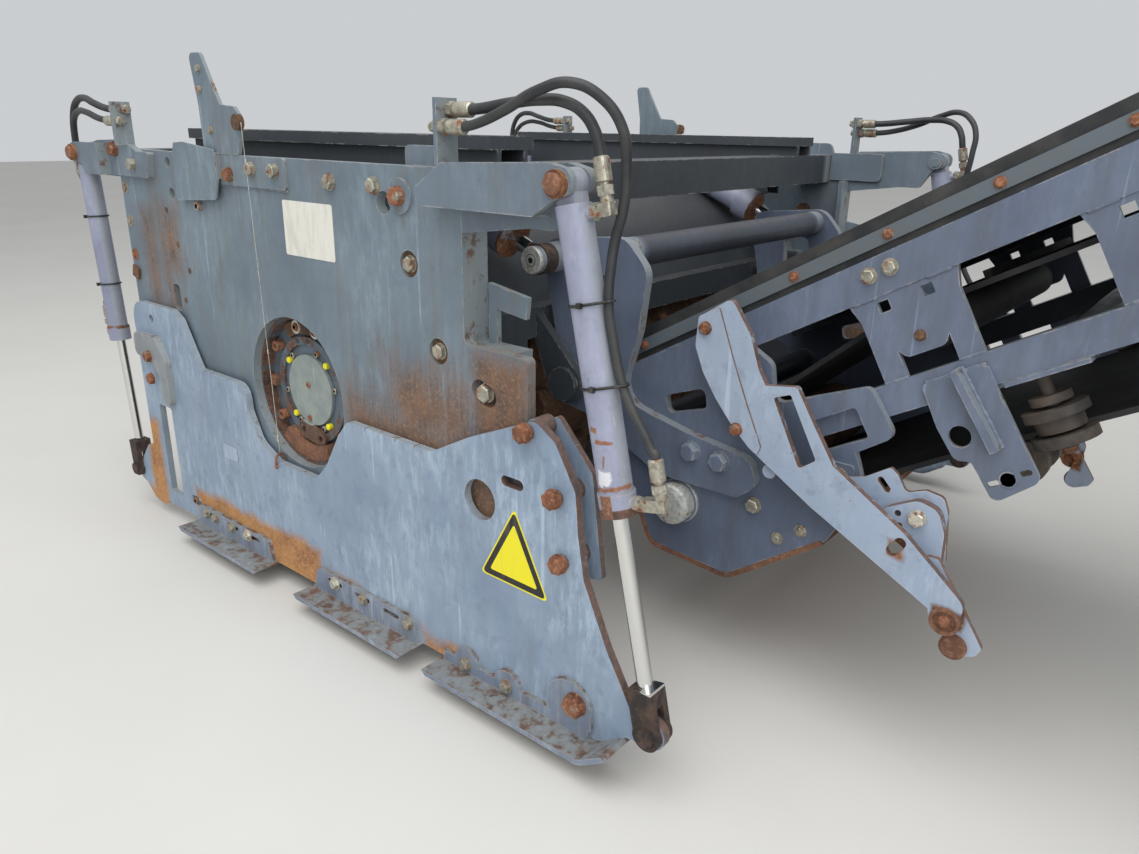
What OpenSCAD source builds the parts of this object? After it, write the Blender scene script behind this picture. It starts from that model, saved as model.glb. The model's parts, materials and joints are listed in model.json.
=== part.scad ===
// Milling unit of a cold planer: drum housing with height-adjustable side plates, milling drum,
// rear scraper and pick-up conveyor. Millimetres. +X points forward along the conveyor, +Y to the
// machine's left, +Z up. The origin is the middle of the bolt pattern on top of the housing.
// Every right-hand piece (negative Y) is drawn once and mirrored to the left.

/* [Drum] */
// Radius at the tips of the picks
tip_r = 490; // [480:1:496]
// Outer radius of the drum tube
tube_r = 400; // [385:1:402]
// Wall of the drum tube
tube_wall = 30; // [20:1:40]
// Depth of the drum axis below the top of the housing
axis_drop = 677; // [672:1:684]
// Radius of the stub shafts that carry the drum
shaft_r = 70; // [60:1:80]
// Rows of tools in each of the four flights
flight_tools = 24; // [16:1:26]
// Turn of a flight from one tool to the next, degrees
flight_step = 27; // [20:1:32]

/* [Housing] */
// Clear width between the two walls
inner_w = 1970; // [1900:10:2000]
// Thickness of a wall
wall_t = 25; // [20:1:30]
// Gap between the pick tips and the hood
hood_gap = 25; // [22:1:30]
// Thickness of the hood
hood_t = 15; // [10:1:18]
// Depth of the wall's top edge below the mounting face
wall_top = 62; // [56:1:68]
// Depth of the wall's bottom edge below the mounting face
wall_bottom = 1040; // [1030:1:1050]
// Reach of the wall behind the drum axis
wall_rear = 872; // [866:1:876]
// Reach of the wall's lower part in front of the drum axis
wall_front = 853; // [847:1:854]
// Reach of the wall's upper part in front of the drum axis
wall_neck = 668; // [655:1:680]
// Depth of the ledge between the wall's upper and lower front edges
wall_ledge = 428; // [420:1:440]
// Radius of the hub opening in the wall
hub_hole_r = 210; // [200:1:220]

/* [Side plates] */
// Thickness of a side plate
plate_t = 20; // [16:1:22]
// Gap between a wall and its side plate
plate_gap = 10; // [8:1:12]
// Height that a side plate can rise
lift_travel = 360; // [300:10:360]
// Depth of the skids' soles below the mounting face
sole_drop = 1240; // [1236:1:1250]
// Thickness of a skid's sole
sole_t = 12; // [10:1:14]
// Width of a skid's sole
sole_w = 92; // [80:1:100]

/* [Lift cylinders] */
// Radius of a front lift cylinder's barrel
front_barrel_r = 34; // [30:1:36]
// Length of a front barrel from its pin
front_barrel_l = 625; // [600:5:635]
// Radius of a front rod
front_rod_r = 17; // [15:1:20]
// Radius of a rear lift cylinder's barrel
rear_barrel_r = 30; // [26:1:32]
// Length of a rear barrel from its pin
rear_barrel_l = 610; // [590:5:615]
// Radius of a rear rod
rear_rod_r = 14; // [12:1:16]

/* [Conveyor] */
// Width over the conveyor's frame
frame_w = 1050; // [1000:10:1060]
// Slope of the conveyor, degrees
incline = 29.5; // [29:0.1:30]
// Distance along the slope from the frame's datum to the head drum
head_u = 3420; // [3400:10:3500]
// Radius over the belt on its end drums
loop_r = 110; // [105:1:112]
// Width of the belt
belt_w = 850; // [780:10:860]
// Thickness of the belt
belt_t = 12; // [10:1:14]
// Distance between idler stations
station_pitch = 443; // [430:1:450]
// Number of idler stations
stations = 7; // [4:1:7]

/* [Scraper] */
// Height that the scraper can rise
scraper_travel = 300; // [200:10:300]
// Thickness of the scraper board
board_t = 20; // [16:1:24]

/* [Hidden] */
$fn = 48;
// Radial clearance of a running fit, and the gap left at a seat
run_gap = 0.08;
seat_gap = 0.3;

// Distances from the middle plane
wall_in = inner_w / 2;
wall_out = wall_in + wall_t;
plate_in = wall_out + plate_gap;
plate_out = plate_in + plate_t;
// The lift cylinders lie in the middle plane of their side plate
cylinder_y = plate_in + plate_t / 2;
frame_y = frame_w / 2;

hood_in = tip_r + hood_gap;
hood_r = hood_in + hood_t;

// Pins of the front lift cylinder as [X, Z], side plates down
front_top = [975, -74];
front_foot = [1215, -1140];
// Pins of the rear lift cylinder
rear_top = [-1050, -78];
rear_foot = [-985, -1148];
// Pins of the loader's cylinder and the pivot of the loader
loader_rear = [200, -128];
loader_eye = [565, -290];
pivot = [613, -613];
foot_in = frame_y + seat_gap;
foot_t = 20;
lever_y = foot_in + foot_t + seat_gap;
lever_t = 27;
// Clearances of the loader's cylinders and guard arms from the foot
lever_clear = 46;
arm_clear = 55;

pin_r = 15;
// An eye fills the space from the wall's outer plane to the outer cheek of its clevis
eye_half = cylinder_y - wall_out;
loader_cylinder_y = lever_y + lever_t + lever_clear + eye_half;
// Length of a rod inside its barrel when it is out, and room behind it when it is in
rod_grip = 84;
rod_room = 40;
front_length = norm(front_foot - front_top);
front_lean = atan2(front_foot.x - front_top.x, front_top.y - front_foot.y);
rear_length = norm(rear_foot - rear_top);
rear_lean = atan2(rear_foot.x - rear_top.x, rear_top.y - rear_foot.y);
loader_length = norm(loader_eye - loader_rear);
loader_fall = atan2(loader_rear.y - loader_eye.y, loader_eye.x - loader_rear.x);

// The conveyor is drawn with u along its slope and v square to it, from this datum on the
// top edge of its upper rails
datum = [1078, -372];
upper_h = 78;
lower_top = -254;
lower_h = 65;
rail_w = 50;
carry_v = -125;
return_v = -456;
tail = [-357, -365];
head = [head_u, carry_v - loop_r];
first_station = 345;

slate = "#6f7c88";
plate_blue = "#8c9bb5";
frame_blue = "#6e7690";
lilac = "#a5a3be";
chrome = "#d8dadd";
rust = "#8a5238";
steel = "#7d7468";
rubber = "#2a2b2d";

// Points of one rounded corner b between its neighbours a and c
function unit(v) = v / norm(v);
function corner(a, b, c, r, n = 4) =
    r == 0 ? [b] :
    let (u = unit(a - b), w = unit(c - b), half = acos(u * w) / 2,
         centre = b + unit(u + w) * r / sin(half),
         p = b + u * r / tan(half) - centre, q = b + w * r / tan(half) - centre,
         start = atan2(p.y, p.x), turn = (atan2(q.y, q.x) - start + 540) % 360 - 180)
    [for (i = [0:n]) centre + r * [cos(start + turn * i / n), sin(start + turn * i / n)]];

// Outline through points given as [x, z, radius of the corner]
function rounded(pts) = [for (i = [0:len(pts) - 1])
    let (a = pts[(i + len(pts) - 1) % len(pts)], b = pts[i], c = pts[(i + 1) % len(pts)])
    each corner([a.x, a.y], [b.x, b.y], [c.x, c.y], b.z)];

// Tangent point on a circle of radius r about c from the outside point p, on side +1 or -1
function tangent(c, r, p, side) =
    let (d = p - c, a = atan2(d.y, d.x) + side * acos(r / norm(d))) c + r * [cos(a), sin(a)];

// The same, pulled a little inside the circle so that a straight edge crosses it cleanly
function near_tangent(c, r, p, side) = tangent(c, 0.998 * r, p, side);

// Right-hand plate: a drawing in X and Z, thickened outwards from the distance y0
module slab(y0, t) { translate([0, -y0, 0]) rotate([90, 0, 0]) linear_extrude(t) children(); }
module outline(pts) { polygon(rounded(pts)); }
module disc(at, r) { translate(at) circle(r = r); }
// Long hole of the given length between the middles of its round ends
module long_hole(at, length, r, turn = 0) {
    translate(at) rotate(turn) {
        square([length, 2 * r], center = true);
        for (x = [-length / 2, length / 2]) translate([x, 0]) circle(r = r);
    }
}
// Round bar along Y on the right-hand side, from distance y0 to y1
module pin(at, r, y0, y1) { slab(y0, y1 - y0) disc(at, r); }
module both_sides() { children(); mirror([0, 1, 0]) children(); }
module left() { mirror([0, 1, 0]) children(); }
module drum_axis() { translate([0, 0, -axis_drop]) children(); }
module conveyor() { translate([datum.x, 0, datum.y]) rotate([0, -incline, 0]) children(); }
// Turns a ring about the drum axis from a drawing with radius along x and distance along y
module right_ring(from = 0) {
    drum_axis() rotate([90, 0, 0]) translate([0, 0, from]) rotate_extrude($fn = 96) children();
}

// Walls
module wall_shape() {
    difference() {
        outline([[-wall_rear, -wall_top, 0], [wall_neck, -wall_top, 0], [wall_neck, -wall_ledge, 20],
            [wall_front, -wall_ledge, 12], [wall_front, -800, 0], [600, -wall_bottom, 30],
            [-600, -wall_bottom, 30], [-wall_rear, -700, 30]]);
        disc([0, -axis_drop], hub_hole_r);
        disc([418, -144], 25);
        disc([-556, -93], 15);
        disc([-554, -180], 17);
        disc([496, -272], 30);
        disc([584, -457], 30);
        // Long hole for the front guide bolt
        long_hole([725, -526], 28, 24, -21);
        // Slot beside the rust strip
        outline([[-623, -451, 12], [-584, -451, 12], [-584, -533, 12], [-623, -533, 12]]);
    }
}
module wall_right() { color(slate) slab(wall_in, wall_t) wall_shape(); }
module wall_left() { left() wall_right(); }

// Hood over the drum, open towards the conveyor and the ground
hood_front_angle = 27;
module drum_hood() {
    color(slate) slab(-wall_in, inner_w) translate([0, -axis_drop]) difference() {
        circle(r = hood_r, $fn = 128);
        circle(r = hood_in, $fn = 128);
        polygon([[0, 0], 2 * hood_r * [cos(hood_front_angle), sin(hood_front_angle)],
            [2 * hood_r, -2 * hood_r], [-2 * hood_r, -2 * hood_r], [-2 * hood_r, 0]]);
    }
}

// Lintel over the discharge opening, cheek plates beside it and lugs for the loader's pivot
opening_half = 640;
lintel_face = 515;
lug_y = lever_y + lever_t + 8;
lug_t = 25;
flange_w = 50;
ear_bottom = 152;
module front_frame() {
    color(slate) {
        slab(-wall_in, inner_w) difference() {
            polygon([[440, -425], [lintel_face, -425], [lintel_face, -505], [440, -505]]);
            disc([0, -axis_drop], hood_r, $fn = 128);
        }
        both_sides() slab(opening_half, wall_in - opening_half)
            polygon([[lintel_face - 14, -460], [lintel_face, -460], [lintel_face, -760],
                [590, -wall_bottom], [574, -wall_bottom], [lintel_face - 14, -764]]);
        both_sides() slab(lug_y, lug_t) {
            polygon([[lintel_face - 10, -430], near_tangent(pivot, 55, [lintel_face, -430], -1),
                near_tangent(pivot, 55, [lintel_face, -500], 1), [lintel_face - 10, -500]]);
            disc(pivot, 55);
        }
        // Flange along the wall's neck and ledge, and the stop bracket that stands on it
        both_sides() {
            slab(wall_in - flange_w, flange_w) polygon([[wall_neck - 18, -ear_bottom],
                [wall_neck, -ear_bottom], [wall_neck, -wall_ledge], [800, -wall_ledge],
                [800, -wall_ledge - 18], [wall_neck - 18, -wall_ledge - 18]]);
            slab(wall_in - 41, 12) polygon([[690, -wall_ledge - 9], [690, -296], [805, -315],
                [799, -362], [716, -350], [716, -wall_ledge - 9]]);
        }
        // Pivot pin with its shoulder towards the lever and its cap
        both_sides() {
            pin(pivot, 50, lever_y + lever_t + seat_gap, lug_y);
            pin(pivot, 30, lever_y - 4, lug_y);
            pin(pivot, 45, lug_y + lug_t, lug_y + lug_t + 12);
        }
    }
}

// Box beams between the walls
beam_rear_x = -740;
beam_front_x = 470;
module box_beam(x0, x1, z0, z1, wall) {
    slab(-wall_in, inner_w) difference() {
        polygon([[x0, z0], [x1, z0], [x1, z1], [x0, z1]]);
        polygon([[x0 + wall, z0 + wall], [x1 - wall, z0 + wall],
            [x1 - wall, z1 - wall], [x0 + wall, z1 - wall]]);
    }
}
module cross_beams() {
    color(slate) {
        box_beam(-860, beam_rear_x, -200, -wall_top, 12);
        box_beam(beam_front_x, 590, -160, -wall_top, 12);
    }
}

// Top rails with the mounting holes
rail_in = 690;
rail_out = 830;
rail_t = 30;
mount_x = 900;
mount_y = rail_in + rail_out;
mount_hole_r = 17;
module top_rails() {
    color(slate) both_sides() {
        difference() {
            translate([-760, -rail_out, -rail_t]) cube([1340, rail_out - rail_in, rail_t]);
            for (x = [-mount_x / 2, mount_x / 2])
                translate([x, -mount_y / 2, -50]) cylinder(r = mount_hole_r, h = 60);
        }
        // Web under each rail, cut to the hood and seated on the cross beams
        for (y = [rail_in + 20, rail_out - 32]) slab(y, 12) difference() {
            polygon([[-760, -rail_t], [580, -rail_t], [580, -wall_top], [beam_front_x, -wall_top],
                [beam_front_x, -200], [beam_rear_x, -200], [beam_rear_x, -wall_top],
                [-760, -wall_top]]);
            disc([0, -axis_drop], hood_r, $fn = 128);
        }
    }
}

// Clevises of the front lift cylinders: outer cheek on a packer, inner cheek in the wall's plane
cheek_y = cylinder_y + eye_half;
cheek_t = 15;
// Pin with a head on the outer cheek and a collar on the inner one, whose inner face is at y
module clevis_pin(at, y) {
    pin(at, pin_r, y - 12, cheek_y + cheek_t + 12);
    pin(at, 25, cheek_y + cheek_t, cheek_y + cheek_t + 12);
    pin(at, 24, y - 8, y);
}
module front_arms() {
    color(plate_blue) both_sides() {
        slab(cheek_y, cheek_t) outline([[601, -136, 8], [584, -104, 8], [670, -48, 12], [955, -38, 20],
            [1006, -50, 22], [1006, -90, 20], [966, -103, 6], [912, -136, 12]]);
        slab(wall_out, cheek_y - wall_out) outline([[606, -134, 8], [592, -104, 8], [672, -52, 8],
            [780, -48, 0], [780, -134, 0]]);
        slab(wall_in, wall_t) outline([[wall_neck + seat_gap, -50, 0], [955, -40, 20], [1006, -52, 22],
            [1006, -90, 20], [966, -103, 6], [925, -165, 15], [860, -165, 10],
            [wall_neck + seat_gap, -190, 0]]);
        clevis_pin(front_top, wall_in);
        // Ear plate that ties the arm to the front beam behind the wall
        slab(wall_in - 12, 12) outline([[beam_front_x, -wall_top, 0], [beam_front_x, -20, 12],
            [586, -20, 25], [600, -54, 0], [790, -54, 10], [790, -150, 20], [594, -150, 0],
            [594, -wall_top, 0]]);
    }
}

// Brackets of the rear lift cylinders: a folded plate on the wall with a clevis at its rear end
bracket_t = 20;
module rear_brackets() {
    color(plate_blue) both_sides() {
        slab(wall_out, bracket_t) outline([[-630, -68, 6], [-648, -140, 6], [-1000, -140, 0],
            [-1000, -48, 0], [-951, -39, 10], [-783, -34, 10], [-700, -66, 6]]);
        slab(wall_out, cheek_y - wall_out) outline([[-884, -46, 0], [-884, -140, 0], [-1000, -140, 0],
            [-1000, -48, 0]]);
        for (y = [wall_out - cheek_t, cheek_y]) slab(y, cheek_t) outline([[-884, -46, 0], [-884, -140, 0],
            [-990, -140, 8], [-1014, -106, 8], [-1078, -106, 20], [-1084, -52, 20], [-1040, -46, 20]]);
        clevis_pin(rear_top, wall_out - cheek_t);
    }
}

// Bolt-on plates on the outside of each wall
module wall_plates() {
    color(slate) both_sides() {
        // Cover folded from sheet, open above and below
        slab(wall_out + 16, 5) outline([[-480, -73, 8], [-467, -36, 8], [-418, -33, 8], [-257, -49, 6],
            [-249, -128, 6], [-270, -180, 8], [-481, -193, 6]]);
        slab(wall_out, 18) {
            polygon([[-481, -82], [-476, -82], [-476, -186], [-481, -186]]);
            polygon([[-257, -56], [-252, -56], [-250, -124], [-255, -124]]);
        }
        // Plate that carries the height sensor
        slab(wall_out, 10) outline([[-292, -60, 4], [-320, -45, 10], [-322, 60, 20], [-345, 190, 15],
            [-290, 190, 15], [-250, 120, 30], [-215, 62, 10], [-150, 58, 8], [-124, 33, 12], [-137, -28, 6],
            [-150, -60, 4]]);
        // Strip with its three bolts
        slab(wall_out, 8) difference() {
            outline([[-283, -62, 0], [50, -62, 8], [50, -139, 8], [-283, -139, 8]]);
            disc([-262, -97], 11);
        }
    }
}

// Carriers in the hub openings: flange ring, web, bolt ring, cover and the drum's stub shaft
carrier_r = 245;
carrier_face = wall_in - 35;
drum_end = wall_in - 85;
end_plate_t = 20;
module bearing_carriers() {
    color(slate) both_sides() {
        right_ring() polygon([[0, drum_end - 30], [shaft_r, drum_end - 30], [shaft_r, carrier_face - 20],
            [carrier_r, carrier_face - 20], [carrier_r, wall_in], [carrier_r - 45, wall_in],
            [carrier_r - 45, carrier_face], [150, carrier_face], [150, carrier_face + 14],
            [128, carrier_face + 14], [128, carrier_face + 6], [100, carrier_face + 6],
            [100, carrier_face + 16], [0, carrier_face + 16]]);
        // Link plate hanging below the cover
        slab(carrier_face + 14, 10) difference() {
            hull() { disc([-34, -axis_drop - 118], 26); disc([42, -axis_drop - 132], 22); }
            disc([-34, -axis_drop - 118], 9);
            disc([42, -axis_drop - 132], 9);
        }
    }
}

// Lugs and pins on the hood for the loader's cylinders
module cylinder_lugs() {
    color(slate) both_sides() {
        for (y = [loader_cylinder_y - eye_half - 16, loader_cylinder_y + eye_half + seat_gap])
            slab(y, 16 - seat_gap) difference() {
                outline([[loader_rear.x - 70, -250, 0], [loader_rear.x - 28, loader_rear.y + 28, 26],
                    [loader_rear.x + 28, loader_rear.y + 28, 26], [loader_rear.x + 28, -260, 0]]);
                disc([0, -axis_drop], hood_r, $fn = 128);
            }
        pin(loader_rear, pin_r + 5, loader_cylinder_y - eye_half - seat_gap,
            loader_cylinder_y + eye_half + seat_gap);
    }
}

// Scraper behind the drum: guides, barrels, rods, board and blade
board_x = -560;
board_back = board_x - board_t;
scraper_x = -640;
scraper_y = 600;
scraper_rod_r = 17;
scraper_lug_z = -930;
// Lower end of the scraper's barrels, and the rods' length inside them when they are out
gland_z = -550;
scraper_grip = 70;
board_top = -600;
board_bottom = -1150;
blade_top = -1110;
blade_bottom = -1235;
blade_t = 16;
module scraper_guides() {
    color(slate) both_sides() {
        slab(wall_in - 40, 40) polygon([[board_x + 8, -300], [board_x + 24, -300],
            [board_x + 24, -620], [board_x + 8, -620]]);
        slab(wall_in - 40, 40) polygon([[board_back - 8, -300], [board_back - 20, -300],
            [board_back - 20, -wall_bottom + 20], [board_back - 8, -wall_bottom + 20]]);
    }
}
module scraper_barrels() {
    color(lilac) both_sides() translate([scraper_x, -scraper_y, 0]) difference() {
        union() {
            translate([0, 0, gland_z + 10]) cylinder(r = 36, h = scraper_travel + 140);
            translate([0, 0, gland_z]) cylinder(r = 40, h = 40);
            // Bracket plates against the rear beam
            for (z = [-110, -190])
                translate([beam_rear_x - scraper_x, -50, z]) cube([scraper_x - beam_rear_x, 100, 12]);
        }
        translate([0, 0, gland_z - 10])
            cylinder(r = scraper_rod_r + run_gap, h = scraper_grip + scraper_travel + 60);
    }
}
module scraper_rods() {
    color(chrome) both_sides() translate([scraper_x, -scraper_y, scraper_lug_z])
        cylinder(r = scraper_rod_r, h = gland_z + scraper_grip - scraper_lug_z);
}
module scraper_board() {
    color(slate) {
        slab(-wall_in + 10, inner_w - 20) polygon([[board_x, board_top], [board_back, board_top],
            [board_back, board_bottom], [board_x, board_bottom]]);
        // Stiffening ribs along the back
        for (z = [-995, -1095]) slab(-900, 1800)
            polygon([[board_back, z], [board_back - 40, z - 6], [board_back - 40, z - 24],
                [board_back, z - 30]]);
        // Lugs that carry the rods
        both_sides() translate([scraper_x - 40, -scraper_y - 45, scraper_lug_z - 40])
            cube([board_back - scraper_x + 40, 90, 40]);
    }
}
module scraper_blade() {
    color(rust) {
        slab(-wall_in + 12, inner_w - 24) polygon([[board_x, blade_top], [board_x + blade_t, blade_top],
            [board_x + blade_t, blade_bottom + 20], [board_x + 4, blade_bottom],
            [board_x - 6, blade_bottom], [board_x - 6, board_bottom - seat_gap],
            [board_x, board_bottom - seat_gap]]);
    }
}

// Drum: tube with end plates, tool holders in four flights and their picks
drum_half = wall_in - 15;
module drum_tube() {
    color(steel) {
        drum_axis() rotate([90, 0, 0]) translate([0, 0, -drum_half]) difference() {
            cylinder(r = tube_r, h = 2 * drum_half, $fn = 128);
            translate([0, 0, -1]) cylinder(r = tube_r - tube_wall, h = 2 * drum_half + 2, $fn = 128);
        }
        both_sides() right_ring(drum_end - end_plate_t)
            translate([shaft_r + run_gap, 0]) square([tube_r - tube_wall - shaft_r - run_gap, end_plate_t]);
    }
}
holder_w = 46;
// Sloping face of a holder, on which its pick stands
face_low = [36, 14];
face_high = [14, 52];
face_mid = (face_low + face_high) / 2;
face_out = [face_high.y - face_low.y, face_low.x - face_high.x] / norm(face_high - face_low);
tool_pitch = (drum_half - 60) / flight_tools;
// Places each tool: two flights from each end to the middle, wound opposite ways
module at_tools() {
    for (side = [-1, 1], start = [0, 180], i = [0:flight_tools - 1])
        drum_axis() translate([0, side * (drum_half - 40 - i * tool_pitch), 0])
            rotate([0, start + side * 45 + i * flight_step, 0])
                translate([0, 0, tube_r + seat_gap]) children();
}
module tool_holders() {
    color(steel) at_tools() rotate([90, 0, 0]) linear_extrude(holder_w, center = true)
        polygon([[-44, 0], [30, 0], face_low, face_high, [-10, face_high.y + 4], [-44, 22]]);
}
// Length of a pick from its seat to the tip circle
pick_from = [0, tube_r + seat_gap] + face_mid + seat_gap * face_out;
pick_l = sqrt(pow(pick_from * face_out, 2) + tip_r * tip_r - pick_from * pick_from) - pick_from * face_out;
washer_t = 7;
carbide_l = 18;
module picks() {
    color(rust) at_tools() translate([face_mid.x, 0, face_mid.y])
        rotate([0, atan2(face_out.x, face_out.y), 0]) translate([0, 0, seat_gap]) {
            cylinder(r = 17, h = washer_t, $fn = 8);
            translate([0, 0, washer_t])
                cylinder(r1 = 15, r2 = 7, h = pick_l - washer_t - carbide_l, $fn = 16);
            translate([0, 0, pick_l - carbide_l]) cylinder(r1 = 7, r2 = 1.5, h = carbide_l, $fn = 16);
        }
}

// Side plates
tail_x = -861;
tail_bottom = 1250;
plate_bottom = sole_drop - sole_t;
// Nose of the front skid, and where it starts to rise
nose = [1150, -1185];
nose_root = 1085;
module plate_shape() {
    difference() {
        outline([[tail_x, -527, 60], [-600, -527, 30], [-555, -550, 30], [-500, -640, 60],
            [-468, -690, 10], [-215, -690, 45], [-213, -765, 40], [-170, -850, 60], [-85, -890, 30],
            [105, -890, 40], [160, -835, 60], [223, -735, 0], [264, -690, 20], [577, -690, 30],
            [700, -626, 40], [900, -540, 30], [955, -575, 20], [1009, -667, 30], [1018, -758, 30],
            [1036, -858, 40], [1100, -995, 60], [1190, -1150, 0], [nose.x, nose.y, 0],
            [nose_root, -plate_bottom, 60], [-800, -plate_bottom, 0], [-840, -tail_bottom, 20],
            [-905, -1240, 30], [-962, -1190, 30], [-955, -1100, 30], [-900, -1040, 20], [tail_x, -1030, 10]]);
        // Window beside the rear post
        outline([[-772, -865, 10], [-690, -865, 10], [-690, -1180, 10], [-772, -1180, 10]]);
        outline([[-630, -1150, 8], [-570, -1150, 8], [-570, -1180, 8], [-630, -1180, 8]]);
        disc([-740, -575], 14);
        disc([736, -763], 48);
        long_hole([836, -695], 40, 12);
        // Weld notches along the two upper edges
        for (x = [-440, -405, -308, 332, 448, 518])
            translate([x, -697]) square([5, 12]);
    }
}
// Lugs in the side plate's own plane, held by the rods' forks
lug_r = 36;
// Play of a fork's pin in its lug: the drift of a rod's eye over the whole lift
front_play = 7;
rear_play = 4;
module lug(at, root_a, root_b, play) {
    slab(plate_in, plate_t) difference() {
        union() {
            polygon([root_a, near_tangent(at, lug_r, root_a, -1),
                near_tangent(at, lug_r, root_b, 1), root_b]);
            disc(at, lug_r);
        }
        disc(at, pin_r + play);
    }
}
module side_plate_right() {
    color(plate_blue) {
        slab(plate_in, plate_t) difference() {
            plate_shape();
            for (at = [front_foot, rear_foot]) disc(at, lug_r - 6);
        }
        lug(front_foot, [1152, -1100], [1140, -1180], front_play);
        lug(rear_foot, [-930, -1205], [-930, -1112], rear_play);
    }
}
module side_plate_left() { left() side_plate_right(); }

// Clamp plates over the side plates' rear posts
clamp_t = 20;
module clamp_plate_right() {
    color(plate_blue) slab(plate_out, clamp_t) outline([[-841, -700, 20], [-841, -626, 25],
        [-700, -626, 25], [-645, -700, 25], [-645, -847, 25], [-700, -847, 20], [-690, -760, 40],
        [-730, -720, 20]]);
}
module clamp_plate_left() { left() clamp_plate_right(); }

// Roller plates behind the walls' front edges, tied to the side plates by three spacers
roller_t = 15;
spacers = [[882, -567], [962, -690], [980, -831]];
spacer_r = 22;
module roller_plate_right() {
    color(plate_blue) {
        slab(wall_in - 10 - roller_t, roller_t) outline([[822, -600, 20], [905, -544, 12], [1001, -649, 20],
            [1020, -784, 20], [1034, -884, 10], [950, -900, 15], [905, -800, 40], [860, -690, 30]]);
        for (s = spacers) pin(s, spacer_r, wall_in - 10, plate_in);
        for (s = spacers) pin(s, 17, plate_out, plate_out + 12);
    }
}
module roller_plate_left() { left() roller_plate_right(); }

// Skids: an upright bolted to the side plate and a sole that runs on the ground
upright_t = 12;
// Rear and middle skids as [rear end, front end]
skid_ends = [[-590, -130], [60, 520]];
module skid_sole(x0, x1) {
    slab(plate_out - 14, sole_w) outline([[x0, -plate_bottom, 0], [x1, -plate_bottom, 0],
        [x1 - 14, -sole_drop, 6], [x0 + 14, -sole_drop, 6]]);
}
module skids_right() {
    color(plate_blue) {
        for (s = skid_ends) {
            skid_sole(s[0], s[1]);
            slab(plate_out, upright_t) difference() {
                outline([[s[0] + 12, -plate_bottom, 0], [s[0] + 30, -1160, 20],
                    [s[1] - 30, -1160, 20], [s[1] - 12, -plate_bottom, 0]]);
                // Adjusting slots
                for (x = [s[0] + 110, s[0] + 230, s[0] + 350]) long_hole([x, -1180], 50, 7);
            }
        }
        // Front skid with its wavy upper edge and turned-up nose
        slab(plate_out - 14, sole_w) outline([[600, -plate_bottom, 0], [nose_root, -plate_bottom, 60],
            [nose.x, nose.y, 0], [nose.x + 9, nose.y - 8, 0], [nose_root + 5, -sole_drop, 60],
            [614, -sole_drop, 6]]);
        slab(plate_out, upright_t) {
            polygon([[612, -plate_bottom], [1065, -plate_bottom], [1065, -1200], [612, -1200]]);
            intersection() {
                union() { disc([690, -1205], 40); disc([825, -1205], 40); disc([1010, -1165], 62); }
                translate([600, -plate_bottom]) square([500, 150]);
            }
            translate([948, -1205]) square([124, 40]);
        }
    }
}
module skids_left() { left() skids_right(); }

// Cylinder drawn down its own axis from its upper pin: eye, neck, barrel and gland collar
cylinder_eye_r = 28;
barrel_from = 38;
module barrel(r, l, bore, port_side) {
    difference() {
        union() {
            rotate([90, 0, 0]) cylinder(r = cylinder_eye_r, h = 2 * (eye_half - seat_gap), center = true);
            translate([-cylinder_eye_r + 6, -eye_half + seat_gap, -barrel_from - 8])
                cube([2 * cylinder_eye_r - 12, 2 * (eye_half - seat_gap), barrel_from - 8]);
            translate([0, 0, -l + 30]) cylinder(r = r, h = l - 30 - barrel_from);
            translate([0, 0, -l]) cylinder(r = r + 4, h = 46);
            // Port bosses
            for (z = [-barrel_from - 20, -l + 24]) translate([0, 0, z])
                rotate([0, port_side * 90, 0]) cylinder(r = 13, h = r + 16);
        }
        rotate([90, 0, 0]) cylinder(r = pin_r + run_gap, h = 80, center = true);
        translate([0, 0, -l - 1]) cylinder(r = bore, h = rod_grip + lift_travel + rod_room + 1);
    }
}
module at_front_pin() {
    translate([front_top.x, -cylinder_y, front_top.y]) rotate([0, -front_lean, 0]) children();
}
module at_rear_pin() {
    translate([rear_top.x, -cylinder_y, rear_top.y]) rotate([0, -rear_lean, 0]) children();
}
module front_barrel_right() {
    color(lilac) at_front_pin()
        barrel(front_barrel_r, front_barrel_l, front_rod_r + run_gap, 1);
}
module front_barrel_left() { left() front_barrel_right(); }
module rear_barrel_right() {
    color(lilac) at_rear_pin()
        barrel(rear_barrel_r, rear_barrel_l, rear_rod_r + run_gap, -1);
}
module rear_barrel_left() { left() rear_barrel_right(); }

// Rod with a fork round the side plate's lug, drawn down the same axis
fork_gap = plate_t / 2 + seat_gap;
fork_half = fork_gap + 16;
fork_slot = 62;
fork_top = 98;
module rod(r, pin_length, barrel_l, half_w) {
    translate([0, 0, -pin_length + fork_top])
        cylinder(r = r, h = pin_length - fork_top - barrel_l + rod_grip);
    difference() {
        union() {
            translate([0, 0, -pin_length]) rotate([90, 0, 0])
                cylinder(r = half_w + 3, h = 2 * fork_half, center = true);
            translate([-half_w, -fork_half, -pin_length]) cube([2 * half_w, 2 * fork_half, fork_top + 4]);
        }
        translate([-60, -fork_gap, -pin_length - 60]) cube([120, 2 * fork_gap, 60 + fork_slot]);
    }
    translate([0, 0, -pin_length]) rotate([90, 0, 0]) {
        cylinder(r = pin_r, h = 2 * fork_half + 12, center = true);
        translate([0, 0, fork_half]) cylinder(r = 21, h = 8);
    }
}
module front_rod_right() { color(chrome) at_front_pin() rod(front_rod_r, front_length, front_barrel_l, 29); }
module front_rod_left() { left() front_rod_right(); }
module rear_rod_right() { color(chrome) at_rear_pin() rod(rear_rod_r, rear_length, rear_barrel_l, 24); }
module rear_rod_left() { left() rear_rod_right(); }

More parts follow.
